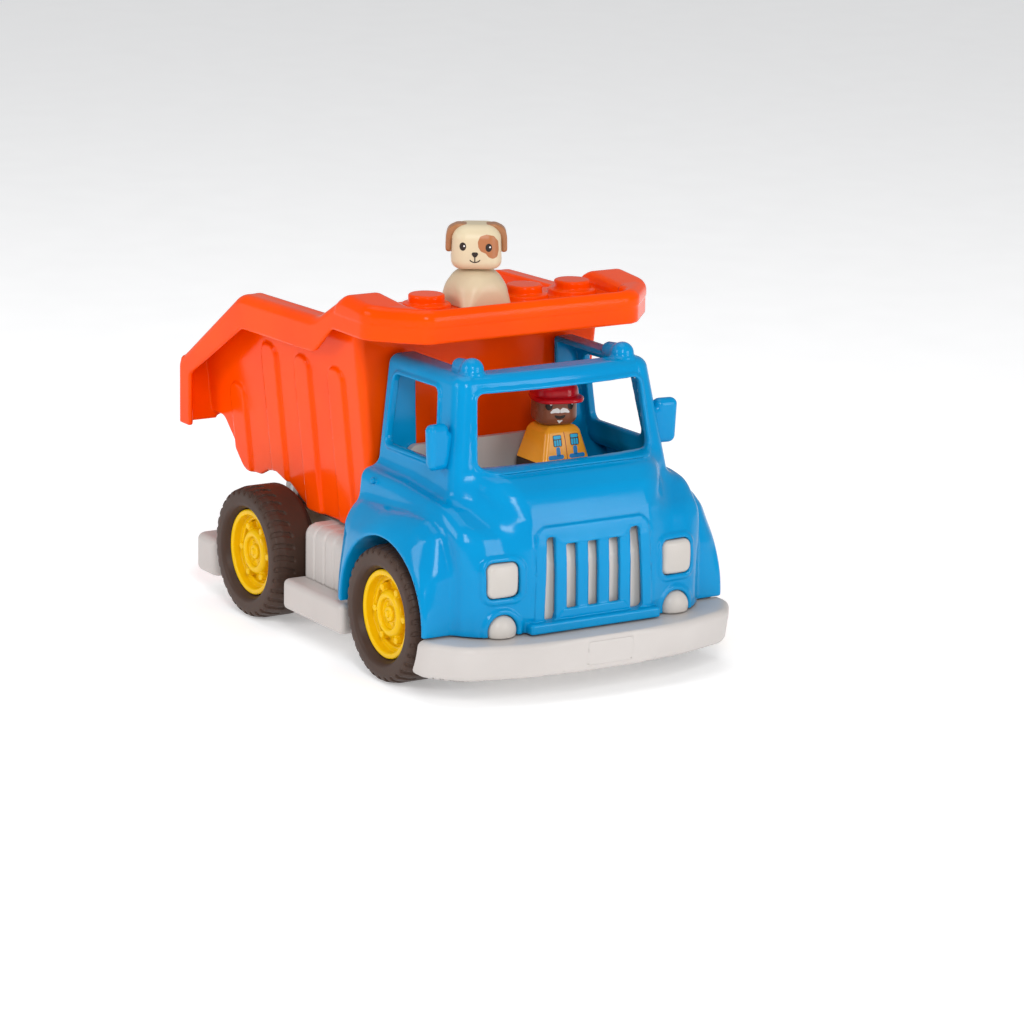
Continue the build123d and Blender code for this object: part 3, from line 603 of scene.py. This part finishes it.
def bed_shell(x, y, z):
    """The tub with its ribs and rim, the studded canopy in front, and the hinge lugs below."""
    x = np.abs(x)
    top, plan, front = rim_top(y, z), rim_plan(x, y), tub_front(x, z)
    side = tub_side(y, z)
    tub = np.where(y < 0, both(side, front, 5), both(side, front, 1.6))
    for outline in rib_outlines:
        tub = either(tub, both(both(outline(y, z), front - 1.8, 1.7), side + 0.2, 1.2), 0.9)
    tub = both(tub, top + 1)
    under_cap = both(both(top, plan, RIM_EDGE), -both(top + WALL, plan + WALL, RIM_EDGE - WALL), 0.6)
    rim = both(under_cap, rim_skirt(y, z), 0.9)
    canopy = both(both(top, plan, RIM_EDGE), both(DECK_TOP - WALL - z, y - BED_FRONT - WALL), 0.5)
    solid = either(either(tub, rim, 2.0), canopy, 1.5)
    web = both(both(BED_REAR - WALL - y, WEB_LOW - z, 0.5), both(top, plan) + 1)
    solid = either(solid, web, 1.0)
    well = both(both(x - 67, -75.5 - y, 9), both(DECK_TOP - z, y - 5), 1.2)
    solid = cut(solid, well, np.where(y < -62, 2.4, 5.0))
    solid = either(solid, both(canopy, z - DECK_TOP, 0.3))
    for at in (PITCH / 2, 1.5 * PITCH):
        solid = either(solid, both(stud_field(x, y, z, (at, STUD_ROW), DECK_TOP), DECK_TOP - 1 - z), 0.5)
    room = both(room_side(y, z), front + WALL, 5)
    solid = cut(solid, room, 1.6)
    solid = cut(solid, both(under_side(y, z), front + WALL, 3), 0.9)
    # two lugs on each side, one on either hand of the frame's ear
    around_pin = np.hypot(y - HINGE_Y, z - HINGE_Z)
    lug = np.minimum(around_pin - LUG_R, both(np.abs(y - HINGE_Y) - LUG_R, slab(z, HINGE_Z, 80)))
    apart = np.minimum(slab(x, 18, 27.7), slab(x, 40, 50.7))
    solid = either(solid, both(lug, apart, 0.6), 0.8)
    solid = cut(solid, both(around_pin - PIN_R, x - 60), 0.2)
    return both(solid, y - BED_REAR, 1.1)


# --- Figures --------------------------------------------------------------------------------
DOG_AT, DOG_TURN = (-PITCH / 2, STUD_ROW), math.radians(-30)
DRIVER_AT, DRIVER_TURN = (27.0, -60.0), math.radians(-15)
SEAT_TOP, JACKET_LOW, JACKET_TOP = 88.0, 106.0, 126.5
DOG_SHOULDER = DECK_TOP + 20.4
DOG_MIDDLE = DOG_SHOULDER + 14.5
FIGURE_HALF, NECK_R, NECK_FIT = 15.8, 5.0, 0.06


def facing(x, y, at, turn):
    """Places in a figure's own frame: across it, and behind its middle."""
    x, y = x - at[0], y - at[1]
    return x * math.cos(turn) + y * math.sin(turn), y * math.cos(turn) - x * math.sin(turn)


def socket(u, v, z, floor):
    """The round hollow under a figure that fits over a stud."""
    return both(np.hypot(u, v) - 14.0, z - floor - 8.5, 0.6)


def dog_body(x, y, z):
    u, v = np.abs(x - DOG_AT[0]), np.abs(y - DOG_AT[1])
    corner = np.clip(5.0 + 0.7 * (z - DECK_TOP), 5, 15)
    body = both(both(u - FIGURE_HALF, v - FIGURE_HALF, corner), z - DOG_SHOULDER, 12)
    body = both(body, DECK_TOP - z, 0.5)
    body = cut(body, socket(u, v, z, DECK_TOP), 0.4)
    return cut(body, both(np.hypot(u, v) - NECK_R - NECK_FIT, DOG_SHOULDER - 7 - z), 0.2)


def dog_skull(x, y, z):
    u, v = facing(x, y, DOG_AT, DOG_TURN)
    half = 14.2 - 0.03 * (z - DOG_SHOULDER)
    head = both(both(np.abs(u) - half, np.abs(v) - half, 8), z - DOG_SHOULDER - 24.9, 8)
    head = both(head, DOG_SHOULDER + 0.3 - z, 5)
    stem = both(np.hypot(u, v) - NECK_R, slab(z, DOG_SHOULDER - 6, DOG_SHOULDER + 4))
    return either(head, stem, 0.3)


ear_side = Profile(
    [(2.5, 8.4), (4.5, 10.3), (10.5, 10.9), (16.0, 8.2), (17.0, 3), (17.2, -5.2), (13.8, -5.5), (13.6, 2),
     (12.4, 5), (8.4, 7.6)],
    [1, 2, 6, 6, 8, 1.6, 1.2, 8, 4, 3],
    cell=0.25,
)


def dog_ears(x, y, z):
    u, v = facing(x, y, DOG_AT, DOG_TURN)
    lean = v + 0.8 + 0.1 * (z - DOG_MIDDLE)
    return both(ear_side(np.abs(u), z - DOG_MIDDLE), np.abs(lean) - 5.2, 1.5)


def driver_legs(x, y, z):
    u, v = np.abs(x - DRIVER_AT[0]), np.abs(y - DRIVER_AT[1])
    body = both(both(u - FIGURE_HALF, v - FIGURE_HALF, 3.5), slab(z, SEAT_TOP, JACKET_LOW - 0.05), 0.5)
    return cut(body, socket(u, v, z, SEAT_TOP), 0.4)


def driver_jacket(x, y, z):
    u, v = np.abs(x - DRIVER_AT[0]), np.abs(y - DRIVER_AT[1])
    half = 15.7 - 0.24 * (z - JACKET_LOW)
    body = both(both(u - half, v - half, 3.0), z - JACKET_TOP, 4.2)
    body = both(body, JACKET_LOW + 0.05 - z, 0.4)
    return cut(body, both(np.hypot(u, v) - NECK_R - NECK_FIT, JACKET_TOP - 7 - z), 0.2)


DRIVER_HALF = 12.0


def driver_skull(x, y, z):
    u, v = facing(x, y, DRIVER_AT, DRIVER_TURN)
    head = both(both(np.abs(u) - DRIVER_HALF, np.abs(v) - DRIVER_HALF, 8.5), z - JACKET_TOP - 21.3, 5)
    head = both(head, JACKET_TOP + 0.3 - z, 4.6)
    stem = both(np.hypot(u, v) - NECK_R, slab(z, JACKET_TOP - 6, JACKET_TOP + 4))
    return either(head, stem, 0.3)


HAT_LOW = JACKET_TOP + 14.3
hat_brim = Profile(
    mirrored([(12.6, 8), (14.6, -3), (14.6, -10), (11.6, -17.6), (6, -19.4)]),
    [2, 6, 8, 6, 14, 14, 6, 8, 6, 2],
    cell=0.25,
)


def driver_hat(x, y, z):
    """A site hat with a visor."""
    u, v = facing(x, y, DRIVER_AT, DRIVER_TURN)
    half = DRIVER_HALF + 1.0 - 0.07 * (z - HAT_LOW)
    dome = both(both(np.abs(u) - half, np.abs(v) - half, 9), z - HAT_LOW - 10.3, 5)
    brim = both(hat_brim(u, v), slab(z, HAT_LOW, HAT_LOW + 2.5), 1.2)
    hat = both(either(dome, brim, 0.9), HAT_LOW - z, 0.5)
    wide = DRIVER_HALF + 0.05
    inside = both(both(np.abs(u) - wide, np.abs(v) - wide, 8.5), z - JACKET_TOP - 21.35, 5)
    return cut(hat, inside, 0.2)


# --- Prints: thin skins of ink laid over a figure -------------------------------------------


PRINT_STEP = 0.6


def disc(outline):
    """A filled outline as rings about its middle: points, triangles and the rim's numbers."""
    fine = []
    corners = np.array(outline, float)
    for a, b in zip(corners, np.roll(corners, -1, 0)):
        parts = max(1, math.ceil(np.linalg.norm(b - a) / PRINT_STEP))
        fine += [a + (b - a) * k / parts for k in range(parts)]
    middle, count = np.mean(fine, 0), len(fine)
    rings = max(2, math.ceil(np.linalg.norm(fine - middle, axis=1).max() / PRINT_STEP))
    points = [middle] + [middle + (p - middle) * (k + 1) / rings for k in range(rings) for p in fine]
    faces = [(0, 1 + i, 1 + (i + 1) % count) for i in range(count)]
    for k in range(rings - 1):
        a, b = 1 + k * count, 1 + (k + 1) * count
        for i in range(count):
            j = (i + 1) % count
            faces += [(a + i, b + i, b + j), (a + i, b + j, a + j)]
    return np.array(points), faces, [1 + (rings - 1) * count + i for i in range(count)]


def oval(u, v, ru, rv):
    return disc([(u + ru * math.cos(t), v + rv * math.sin(t)) for t in np.linspace(0, 2 * math.pi, 40)[:-1]])


def patch(points, radius):
    return disc(rounded(points, radius))


def stroke(points, width):
    """A pen line along a smooth curve through a few points."""
    at = np.array(points, float)
    t = np.linspace(0, 1, 24)
    fit = np.linspace(0, 1, len(at))
    order = min(len(at) - 1, 3)
    line = np.stack([np.polyval(np.polyfit(fit, at[:, k], order), t) for k in (0, 1)], 1)
    along = np.gradient(line, axis=0)
    side = np.stack([-along[:, 1], along[:, 0]], 1) / np.linalg.norm(along, axis=1)[:, None] * width / 2
    taper = np.minimum(1, 0.45 + np.minimum(t, 1 - t) * 9)[:, None]
    rim = np.concatenate([line - side * taper, (line + side * taper)[::-1]])
    count = len(line)
    faces = []
    for i in range(count - 1):
        a, b, c, d = i, i + 1, 2 * count - 2 - i, 2 * count - 1 - i
        faces += [(a, b, c), (a, c, d)]
    return rim, faces, list(range(2 * count))


INK, INK_BACK = 0.05, 0.35


def lay_on(field, shapes, at, turn, lift=INK):
    """Closed skins for flat shapes, pressed onto a figure's front."""
    side = np.array([math.cos(turn), math.sin(turn), 0])
    out = np.array([math.sin(turn), -math.cos(turn), 0])
    every, faces, normals, start = [], [], [], 0
    for flat, triangles, rim in shapes:
        base = np.array([at[0], at[1], 0]) + flat[:, :1] * side + flat[:, 1:] * [0, 0, 1]
        reach = np.full(len(flat), 24.0)
        for _ in range(60):
            reach -= np.clip(field(*(base + reach[:, None] * out).T), -2, 2) * 0.8
        skin = base + reach[:, None] * out
        facing_out = slope(field, skin, 0.3)
        facing_out /= np.linalg.norm(facing_out, axis=1)[:, None]
        count = len(flat)
        tri = np.array(triangles)
        a, b, c = (skin[tri[0][k]] for k in range(3))
        if np.cross(b - a, c - a) @ out < 0:
            tri = tri[:, ::-1]
            rim = rim[::-1]
        wall = []
        for i, j in zip(rim, rim[1:] + rim[:1]):
            wall += [(i, i + count, j), (j, i + count, j + count)]
        every += [skin + facing_out * lift, skin - out * INK_BACK]
        normals += [facing_out, facing_out]
        faces += [tri + start, tri[:, ::-1] + count + start, np.array(wall) + start]
        start += 2 * count
    return np.concatenate(every), np.concatenate(faces), np.concatenate(normals)


# --- Materials ------------------------------------------------------------------------------


def srgb(r, g, b):
    """A linear colour from 0-255 values."""
    parts = [((c / 255 + 0.055) / 1.055) ** 2.4 if c > 10 else c / 255 / 12.92 for c in (r, g, b)]
    return (*parts, 1.0)


def plastic(name, dark, light, rough=(0.2, 0.3), grain=900.0, bump=0.06, coat=0.0, gleam=0.32):
    """Moulded plastic: two close shades in soft clouds, uneven gloss and a fine skin."""
    mat = bpy.data.materials.new(name)
    mat.use_nodes = True
    nodes, links = mat.node_tree.nodes, mat.node_tree.links
    shader = nodes["Principled BSDF"]
    place = nodes.new("ShaderNodeTexCoord")

    def noise(scale, detail):
        node = nodes.new("ShaderNodeTexNoise")
        node.inputs["Scale"].default_value = scale
        node.inputs["Detail"].default_value = detail
        links.new(place.outputs["Object"], node.inputs["Vector"])
        return node.outputs["Fac"]

    clouds = nodes.new("ShaderNodeValToRGB")
    clouds.color_ramp.elements[0].position, clouds.color_ramp.elements[0].color = 0.3, dark
    clouds.color_ramp.elements[1].position, clouds.color_ramp.elements[1].color = 0.7, light
    links.new(noise(22.0, 3.0), clouds.inputs["Fac"])
    links.new(clouds.outputs["Color"], shader.inputs["Base Color"])
    gloss = nodes.new("ShaderNodeMapRange")
    gloss.inputs["To Min"].default_value, gloss.inputs["To Max"].default_value = rough
    links.new(noise(60.0, 4.0), gloss.inputs["Value"])
    links.new(gloss.outputs["Result"], shader.inputs["Roughness"])
    skin = nodes.new("ShaderNodeBump")
    skin.inputs["Strength"].default_value = bump
    skin.inputs["Distance"].default_value = 0.0004
    links.new(noise(grain, 2.0), skin.inputs["Height"])
    links.new(skin.outputs["Normal"], shader.inputs["Normal"])
    shader.inputs["Specular IOR Level"].default_value = gleam
    shader.inputs["Coat Weight"].default_value = coat
    shader.inputs["Coat Roughness"].default_value = 0.08
    return mat


orange = plastic("orange_plastic", srgb(243, 70, 0), srgb(249, 78, 0), (0.1, 0.17), gleam=0.1)
blue = plastic("blue_plastic", srgb(0, 132, 188), srgb(0, 140, 196), (0.09, 0.16), gleam=0.18)
grey = plastic("grey_plastic", srgb(188, 182, 178), srgb(195, 189, 185), (0.3, 0.42), gleam=0.25)
insert_grey = plastic("lamp_grey_plastic", srgb(188, 182, 176), srgb(196, 190, 184), (0.2, 0.3), gleam=0.2)
tyre_dark, tyre_light = srgb(62, 45, 37), srgb(70, 52, 43)
rubber = plastic("tyre_plastic", tyre_dark, tyre_light, (0.38, 0.5), grain=1400, bump=0.1, gleam=0.2)
yellow = plastic("yellow_plastic", srgb(228, 182, 4), srgb(236, 190, 8), (0.14, 0.22), gleam=0.15)
steel = plastic("axle_steel", srgb(150, 152, 156), srgb(172, 174, 178), (0.22, 0.34), grain=2200, bump=0.08)
cream = plastic("cream_plastic", srgb(206, 189, 158), srgb(212, 196, 164), (0.24, 0.34), gleam=0.2)
tan = plastic("tan_plastic", srgb(156, 104, 66), srgb(166, 112, 72), (0.24, 0.34))
dark_cloth = plastic("dark_plastic", srgb(46, 36, 30), srgb(54, 42, 36), (0.3, 0.4))
amber = plastic("amber_plastic", srgb(240, 158, 38), srgb(246, 166, 44), (0.18, 0.28))
skin_brown = plastic("brown_plastic", srgb(136, 78, 54), srgb(144, 84, 58), (0.24, 0.32))
red = plastic("red_plastic", srgb(196, 12, 26), srgb(206, 18, 32), (0.16, 0.24))
ink_dark = plastic("dark_ink", srgb(38, 26, 22), srgb(44, 30, 26), (0.3, 0.36))
ink_white = plastic("white_ink", srgb(236, 230, 226), srgb(244, 240, 236), (0.3, 0.36))
ink_brown = plastic("brown_ink", srgb(168, 106, 66), srgb(176, 113, 71), (0.3, 0.36))
ink_blue = plastic("blue_ink", srgb(8, 122, 190), srgb(12, 130, 198), (0.3, 0.36))
ink_sky = plastic("sky_ink", srgb(0, 168, 212), srgb(4, 176, 220), (0.3, 0.36))
ink_rust = plastic("rust_ink", srgb(172, 78, 16), srgb(180, 84, 20), (0.3, 0.36))
steel.node_tree.nodes["Principled BSDF"].inputs["Metallic"].default_value = 1.0

for node, material in (
    ("chassis_frame", grey), ("axle_clamp_front", grey), ("axle_clamp_rear", grey), ("seat_block", grey),
    ("clamp_screws", steel), ("bed_hinge_pin", steel), ("front_axle", steel), ("rear_axle", steel),
):
    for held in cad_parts[node].material_slots:
        held.material = material


# --- Build ----------------------------------------------------------------------------------


def build(name, field, low, high, cell, material, body, stands_for, slot):
    mesh_piece(name, *grow(field, low, high, cell), material, body, stands_for, slot)


def build_pair(name, field, node, cell, material, body, slot):
    """A piece grown on the +X side, and its mirror image."""
    low, high = cad_box(node + "_left")
    shape = grow(field, low - 2, high + 2, cell)
    mesh_piece(name + "_left", *shape, material, body, node + "_left", slot)
    mesh_piece(name + "_right", *shape, material, body, node + "_right", slot, flip=True)


def build_cad(name, field, node, cell, material, body, slot, spare=2.0):
    """A piece grown in a CAD node's own box."""
    low, high = cad_box(node)
    build(name, field, low - spare, high + spare, cell, material, body, node, slot)


build_cad("cab", cab_shell, "cab_shell", 1.2, blue, "chassis", "cab_blue")
build_cad("grille_and_lamps", lamp_insert, "lamp_insert", 1.0, insert_grey, "chassis", "body_grey")
build_cad("bumper_front", front_bumper, "front_bumper", 1.2, grey, "chassis", "body_grey")
build_cad("bumper_rear", rear_bumper, "rear_bumper", 1.5, grey, "chassis", "body_grey")
build_cad("bed", bed_shell, "bed_shell", 1.3, orange, "tipping_bed", "bed_orange")
build_pair("mirror", mirror_pod, "mirror", 0.9, blue, "chassis", "cab_blue")
build_pair("step", step_box, "step", 1.4, grey, "chassis", "body_grey")
build_pair("tank", side_tank, "tank", 0.9, grey, "chassis", "body_grey")

tyre_shape = grow(tyre, (TYRE_IN, -TYRE_R, -TYRE_R), (TYRE_OUT, TYRE_R, TYRE_R), 0.7)
hub_shape = grow(hub, (HUB_IN, -HUB_R, -HUB_R), (HUB_OUT, HUB_R, HUB_R), 0.6)
for end, axle_y in (("front", FRONT_Y), ("rear", REAR_Y)):
    for side in ("left", "right"):
        for kind, shape, material, slot in (
            ("tyre", tyre_shape, rubber, "tyre_brown"), ("hub", hub_shape, yellow, "hub_yellow")
        ):
            points, faces, normals = shape
            points = points + [0, axle_y, AXLE_Z]
            node = f"{end}_{kind}_{side}"
            mesh_piece(f"{end}_{side}_{kind}", points, faces, normals, material, f"{end}_wheels", node, slot,
                       flip=side == "right")

build_cad("dog_body_skin", dog_body, "dog_body", 0.8, cream, "dog_figure", "dog_cream")
build_cad("dog_head_skin", dog_skull, "dog_head", 0.6, cream, "dog_upper", "dog_cream")
ear_low, ear_high = cad_box("dog_head")
mesh_piece("dog_ears", *grow(dog_ears, ear_low - 3, ear_high + 3, 0.5), tan, "dog_upper")
build_cad("driver_legs_skin", driver_legs, "driver_legs", 0.9, dark_cloth, "driver_figure", "driver_dark")
build_cad("driver_jacket_skin", driver_jacket, "driver_jacket", 0.7, amber, "driver_figure", "jacket_amber")
build_cad("driver_head_skin", driver_skull, "driver_head", 0.6, skin_brown, "driver_upper", "driver_skin")
build_cad("driver_hat_skin", driver_hat, "driver_hat", 0.6, red, "driver_upper", "hat_red", spare=6.0)

# the dog's face, in millimetres across and above the ground plane
EYE_Z = DOG_MIDDLE - 1.0
NOSE_U, NOSE_Z = -1.0, DOG_MIDDLE - 5.3
EYES = ((-7.7, EYE_Z + 0.2), (6.6, EYE_Z - 0.3))
eye_patch = [(0.5, 1.8), (1.8, 4.9), (5.4, 5.9), (9.4, 5.1), (11.8, 2.1), (12.2, -3), (11.4, -6.6), (9, -7.6),
             (6.6, -6.6), (5, -4.6), (2.2, -3.4), (0.8, -1)]
dog_prints = {
    "dog_patch_print": (ink_brown, [patch([(u, DOG_MIDDLE + v) for u, v in eye_patch], 1.6)], INK),
    "dog_face_print": (
        ink_dark,
        [oval(u, v, 1.8, 2.3) for u, v in EYES]
        + [patch([(NOSE_U - 2.9, NOSE_Z + 1.4), (NOSE_U + 2.9, NOSE_Z + 1.4), (NOSE_U, NOSE_Z - 2.2)], 1.0)]
        + [stroke([(NOSE_U, NOSE_Z - 1.2), (NOSE_U, NOSE_Z - 2.4), (NOSE_U, NOSE_Z - 4.1)], 0.6)]
        + [stroke([(-3.8, NOSE_Z - 2.8), (-2.6, NOSE_Z - 3.9), (-1, NOSE_Z - 4.2), (0.7, NOSE_Z - 3.9),
                   (1.9, NOSE_Z - 2.8)], 0.6)],
        2 * INK,
    ),
    "dog_eye_glints": (ink_white, [oval(u + 0.7, v + 0.3, 0.45, 0.45) for u, v in EYES], 3 * INK),
}
for name, (material, shapes, lift) in dog_prints.items():
    mesh_piece(name, *lay_on(dog_skull, shapes, DOG_AT, DOG_TURN, lift), material, "dog_upper")

# the driver's face
driver_eyes = [(side * 6.3, JACKET_TOP + 12.0) for side in (-1, 1)]
LIP_Z = JACKET_TOP + 8.6
half_moustache = [(0.1, 1.2), (1.6, 2.3), (4.2, 1.6), (6.4, -1.0), (3.0, -0.4), (0.1, -0.7)]
moustache = [[(side * u, LIP_Z + v) for u, v in half_moustache] for side in (-1, 1)]
smile = [(-3.8, -1.6), (0, -2.4), (3.8, -1.6), (2.2, -3.7), (0, -4.2), (-2.2, -3.7)]
goatee = [(-2.1, -4.5), (0, -5.0), (2.1, -4.5), (0, -6.9)]
face_prints = {
    "driver_face_print": (
        ink_dark,
        [oval(u, v, 1.9, 2.4) for u, v in driver_eyes]
        + [patch([(u, LIP_Z + v) for u, v in smile], 0.4)],
        INK,
    ),
    "driver_beard_print": (
        ink_white,
        [patch(points, 0.5) for points in moustache]
        + [patch([(u, LIP_Z + v) for u, v in goatee], 0.3)]
        + [oval(u + 1.0, v + 0.9, 0.6, 0.6) for u, v in driver_eyes],
        2 * INK,
    ),
}
for name, (material, shapes, lift) in face_prints.items():
    mesh_piece(name, *lay_on(driver_skull, shapes, DRIVER_AT, DRIVER_TURN, lift), material, "driver_upper")


def tile(u, v, wide, tall, radius=0.8):
    return patch([(u - wide / 2, v - tall / 2), (u + wide / 2, v - tall / 2), (u + wide / 2, v + tall / 2),
                  (u - wide / 2, v + tall / 2)], radius)


# the jacket's zip, pockets and bands
POCKETS = (-5.2, 6.0)
POCKET_Z, POCKET_W, POCKET_H = JACKET_LOW + 12.8, 5.6, 6.4
BAND_Z = JACKET_LOW + 3.9
zip_line = ((-0.6, 17.4), (-0.1, 14), (0.2, 8), (0.2, 0.8))
jacket_prints = {
    "jacket_bands": (
        ink_blue,
        [tile(u, BAND_Z, 10.2, 2.4, 1.1) for u in (-7.0, 6.8)]
        + [tile(u, BAND_Z + 3.0, 2.6, 5.0) for u in POCKETS],
        INK,
    ),
    "jacket_pocket_edges": (ink_dark, [tile(u, POCKET_Z, POCKET_W, POCKET_H) for u in POCKETS], 2 * INK),
    "jacket_pockets": (
        ink_sky,
        [tile(u, POCKET_Z + 1.9, POCKET_W - 0.8, 1.9, 0.6) for u in POCKETS]
        + [tile(u + k * 1.6, POCKET_Z - 1.2, 1.25, 3.3, 0.4) for u in POCKETS for k in (-1, 0, 1)],
        3 * INK,
    ),
    "jacket_zip": (ink_rust, [stroke([(u, JACKET_LOW + v) for u, v in zip_line], 0.5)], INK),
}
for name, (material, shapes, lift) in jacket_prints.items():
    mesh_piece(name, *lay_on(driver_jacket, shapes, DRIVER_AT, 0.0, lift), material, "driver_figure")

# --- Camera, floor and light ----------------------------------------------------------------
CAMERA_AT = (-1.23992, -2.05319, 0.65956)
CAMERA_AZIMUTH, CAMERA_ELEVATION, CAMERA_ROLL = (math.radians(a) for a in (-31.8965, 13.855, 0.992))
FOCAL_WIDTHS = 4.1985

back = Vector((
    math.sin(CAMERA_AZIMUTH) * math.cos(CAMERA_ELEVATION),
    -math.cos(CAMERA_AZIMUTH) * math.cos(CAMERA_ELEVATION),
    math.sin(CAMERA_ELEVATION),
))
level = (-back).cross(Vector((0, 0, 1))).normalized()
upright = level.cross(-back)
right = math.cos(CAMERA_ROLL) * level + math.sin(CAMERA_ROLL) * upright
over = -math.sin(CAMERA_ROLL) * level + math.cos(CAMERA_ROLL) * upright
lens = bpy.data.cameras.new("main_camera")
lens.sensor_width = 36.0
lens.lens = FOCAL_WIDTHS * lens.sensor_width
lens.clip_start, lens.clip_end = 0.1, 50
camera = bpy.data.objects.new("main_camera", lens)
camera.matrix_world = Matrix.Translation(CAMERA_AT) @ Matrix((right, over, back)).transposed().to_4x4()
bpy.context.scene.collection.objects.link(camera)
bpy.context.scene.camera = camera
bpy.context.scene.view_settings.view_transform = "Standard"

floor_mesh = bpy.data.meshes.new("floor")
FAR = 9.0
floor_mesh.from_pydata([(-FAR, -FAR, 0), (FAR, -FAR, 0), (FAR, FAR, 0), (-FAR, FAR, 0)], [], [(0, 1, 2, 3)])
floor = bpy.data.objects.new("floor", floor_mesh)
pale = plastic("pale_floor", srgb(248, 248, 248), srgb(252, 252, 252), (0.8, 0.9), 40, 0.02)
floor_mesh.materials.append(pale)
floor_glow = pale.node_tree.nodes["Principled BSDF"].inputs
floor_glow["Emission Color"].default_value = (1, 1, 1, 1)
floor_glow["Emission Strength"].default_value = 0.32
bpy.context.scene.collection.objects.link(floor)

world = bpy.data.worlds.new("studio")
world.use_nodes = True
world.node_tree.nodes["Background"].inputs["Color"].default_value = (0.97, 0.98, 1.0, 1)
world.node_tree.nodes["Background"].inputs["Strength"].default_value = 0.36
bpy.context.scene.world = world


def softbox(name, at, aim, wide, tall, watts):
    data = bpy.data.lights.new(name, "AREA")
    data.shape, data.size, data.size_y, data.energy = "RECTANGLE", wide, tall, watts
    lamp = bpy.data.objects.new(name, data)
    lamp.location = at
    lamp.rotation_euler = (Vector(aim) - Vector(at)).to_track_quat("-Z", "Y").to_euler()
    bpy.context.scene.collection.objects.link(lamp)


TRUCK = (0, 0, 0.1)
softbox("key", (-0.9, -1.9, 1.3), TRUCK, 0.5, 1.1, 22)
softbox("side", (-1.9, 0.1, 0.9), TRUCK, 0.9, 0.9, 13)
softbox("fill", (0.9, -2.0, 0.6), TRUCK, 0.8, 1.2, 15)
softbox("top", (0.0, 0.2, 1.9), TRUCK, 1.4, 1.4, 9)
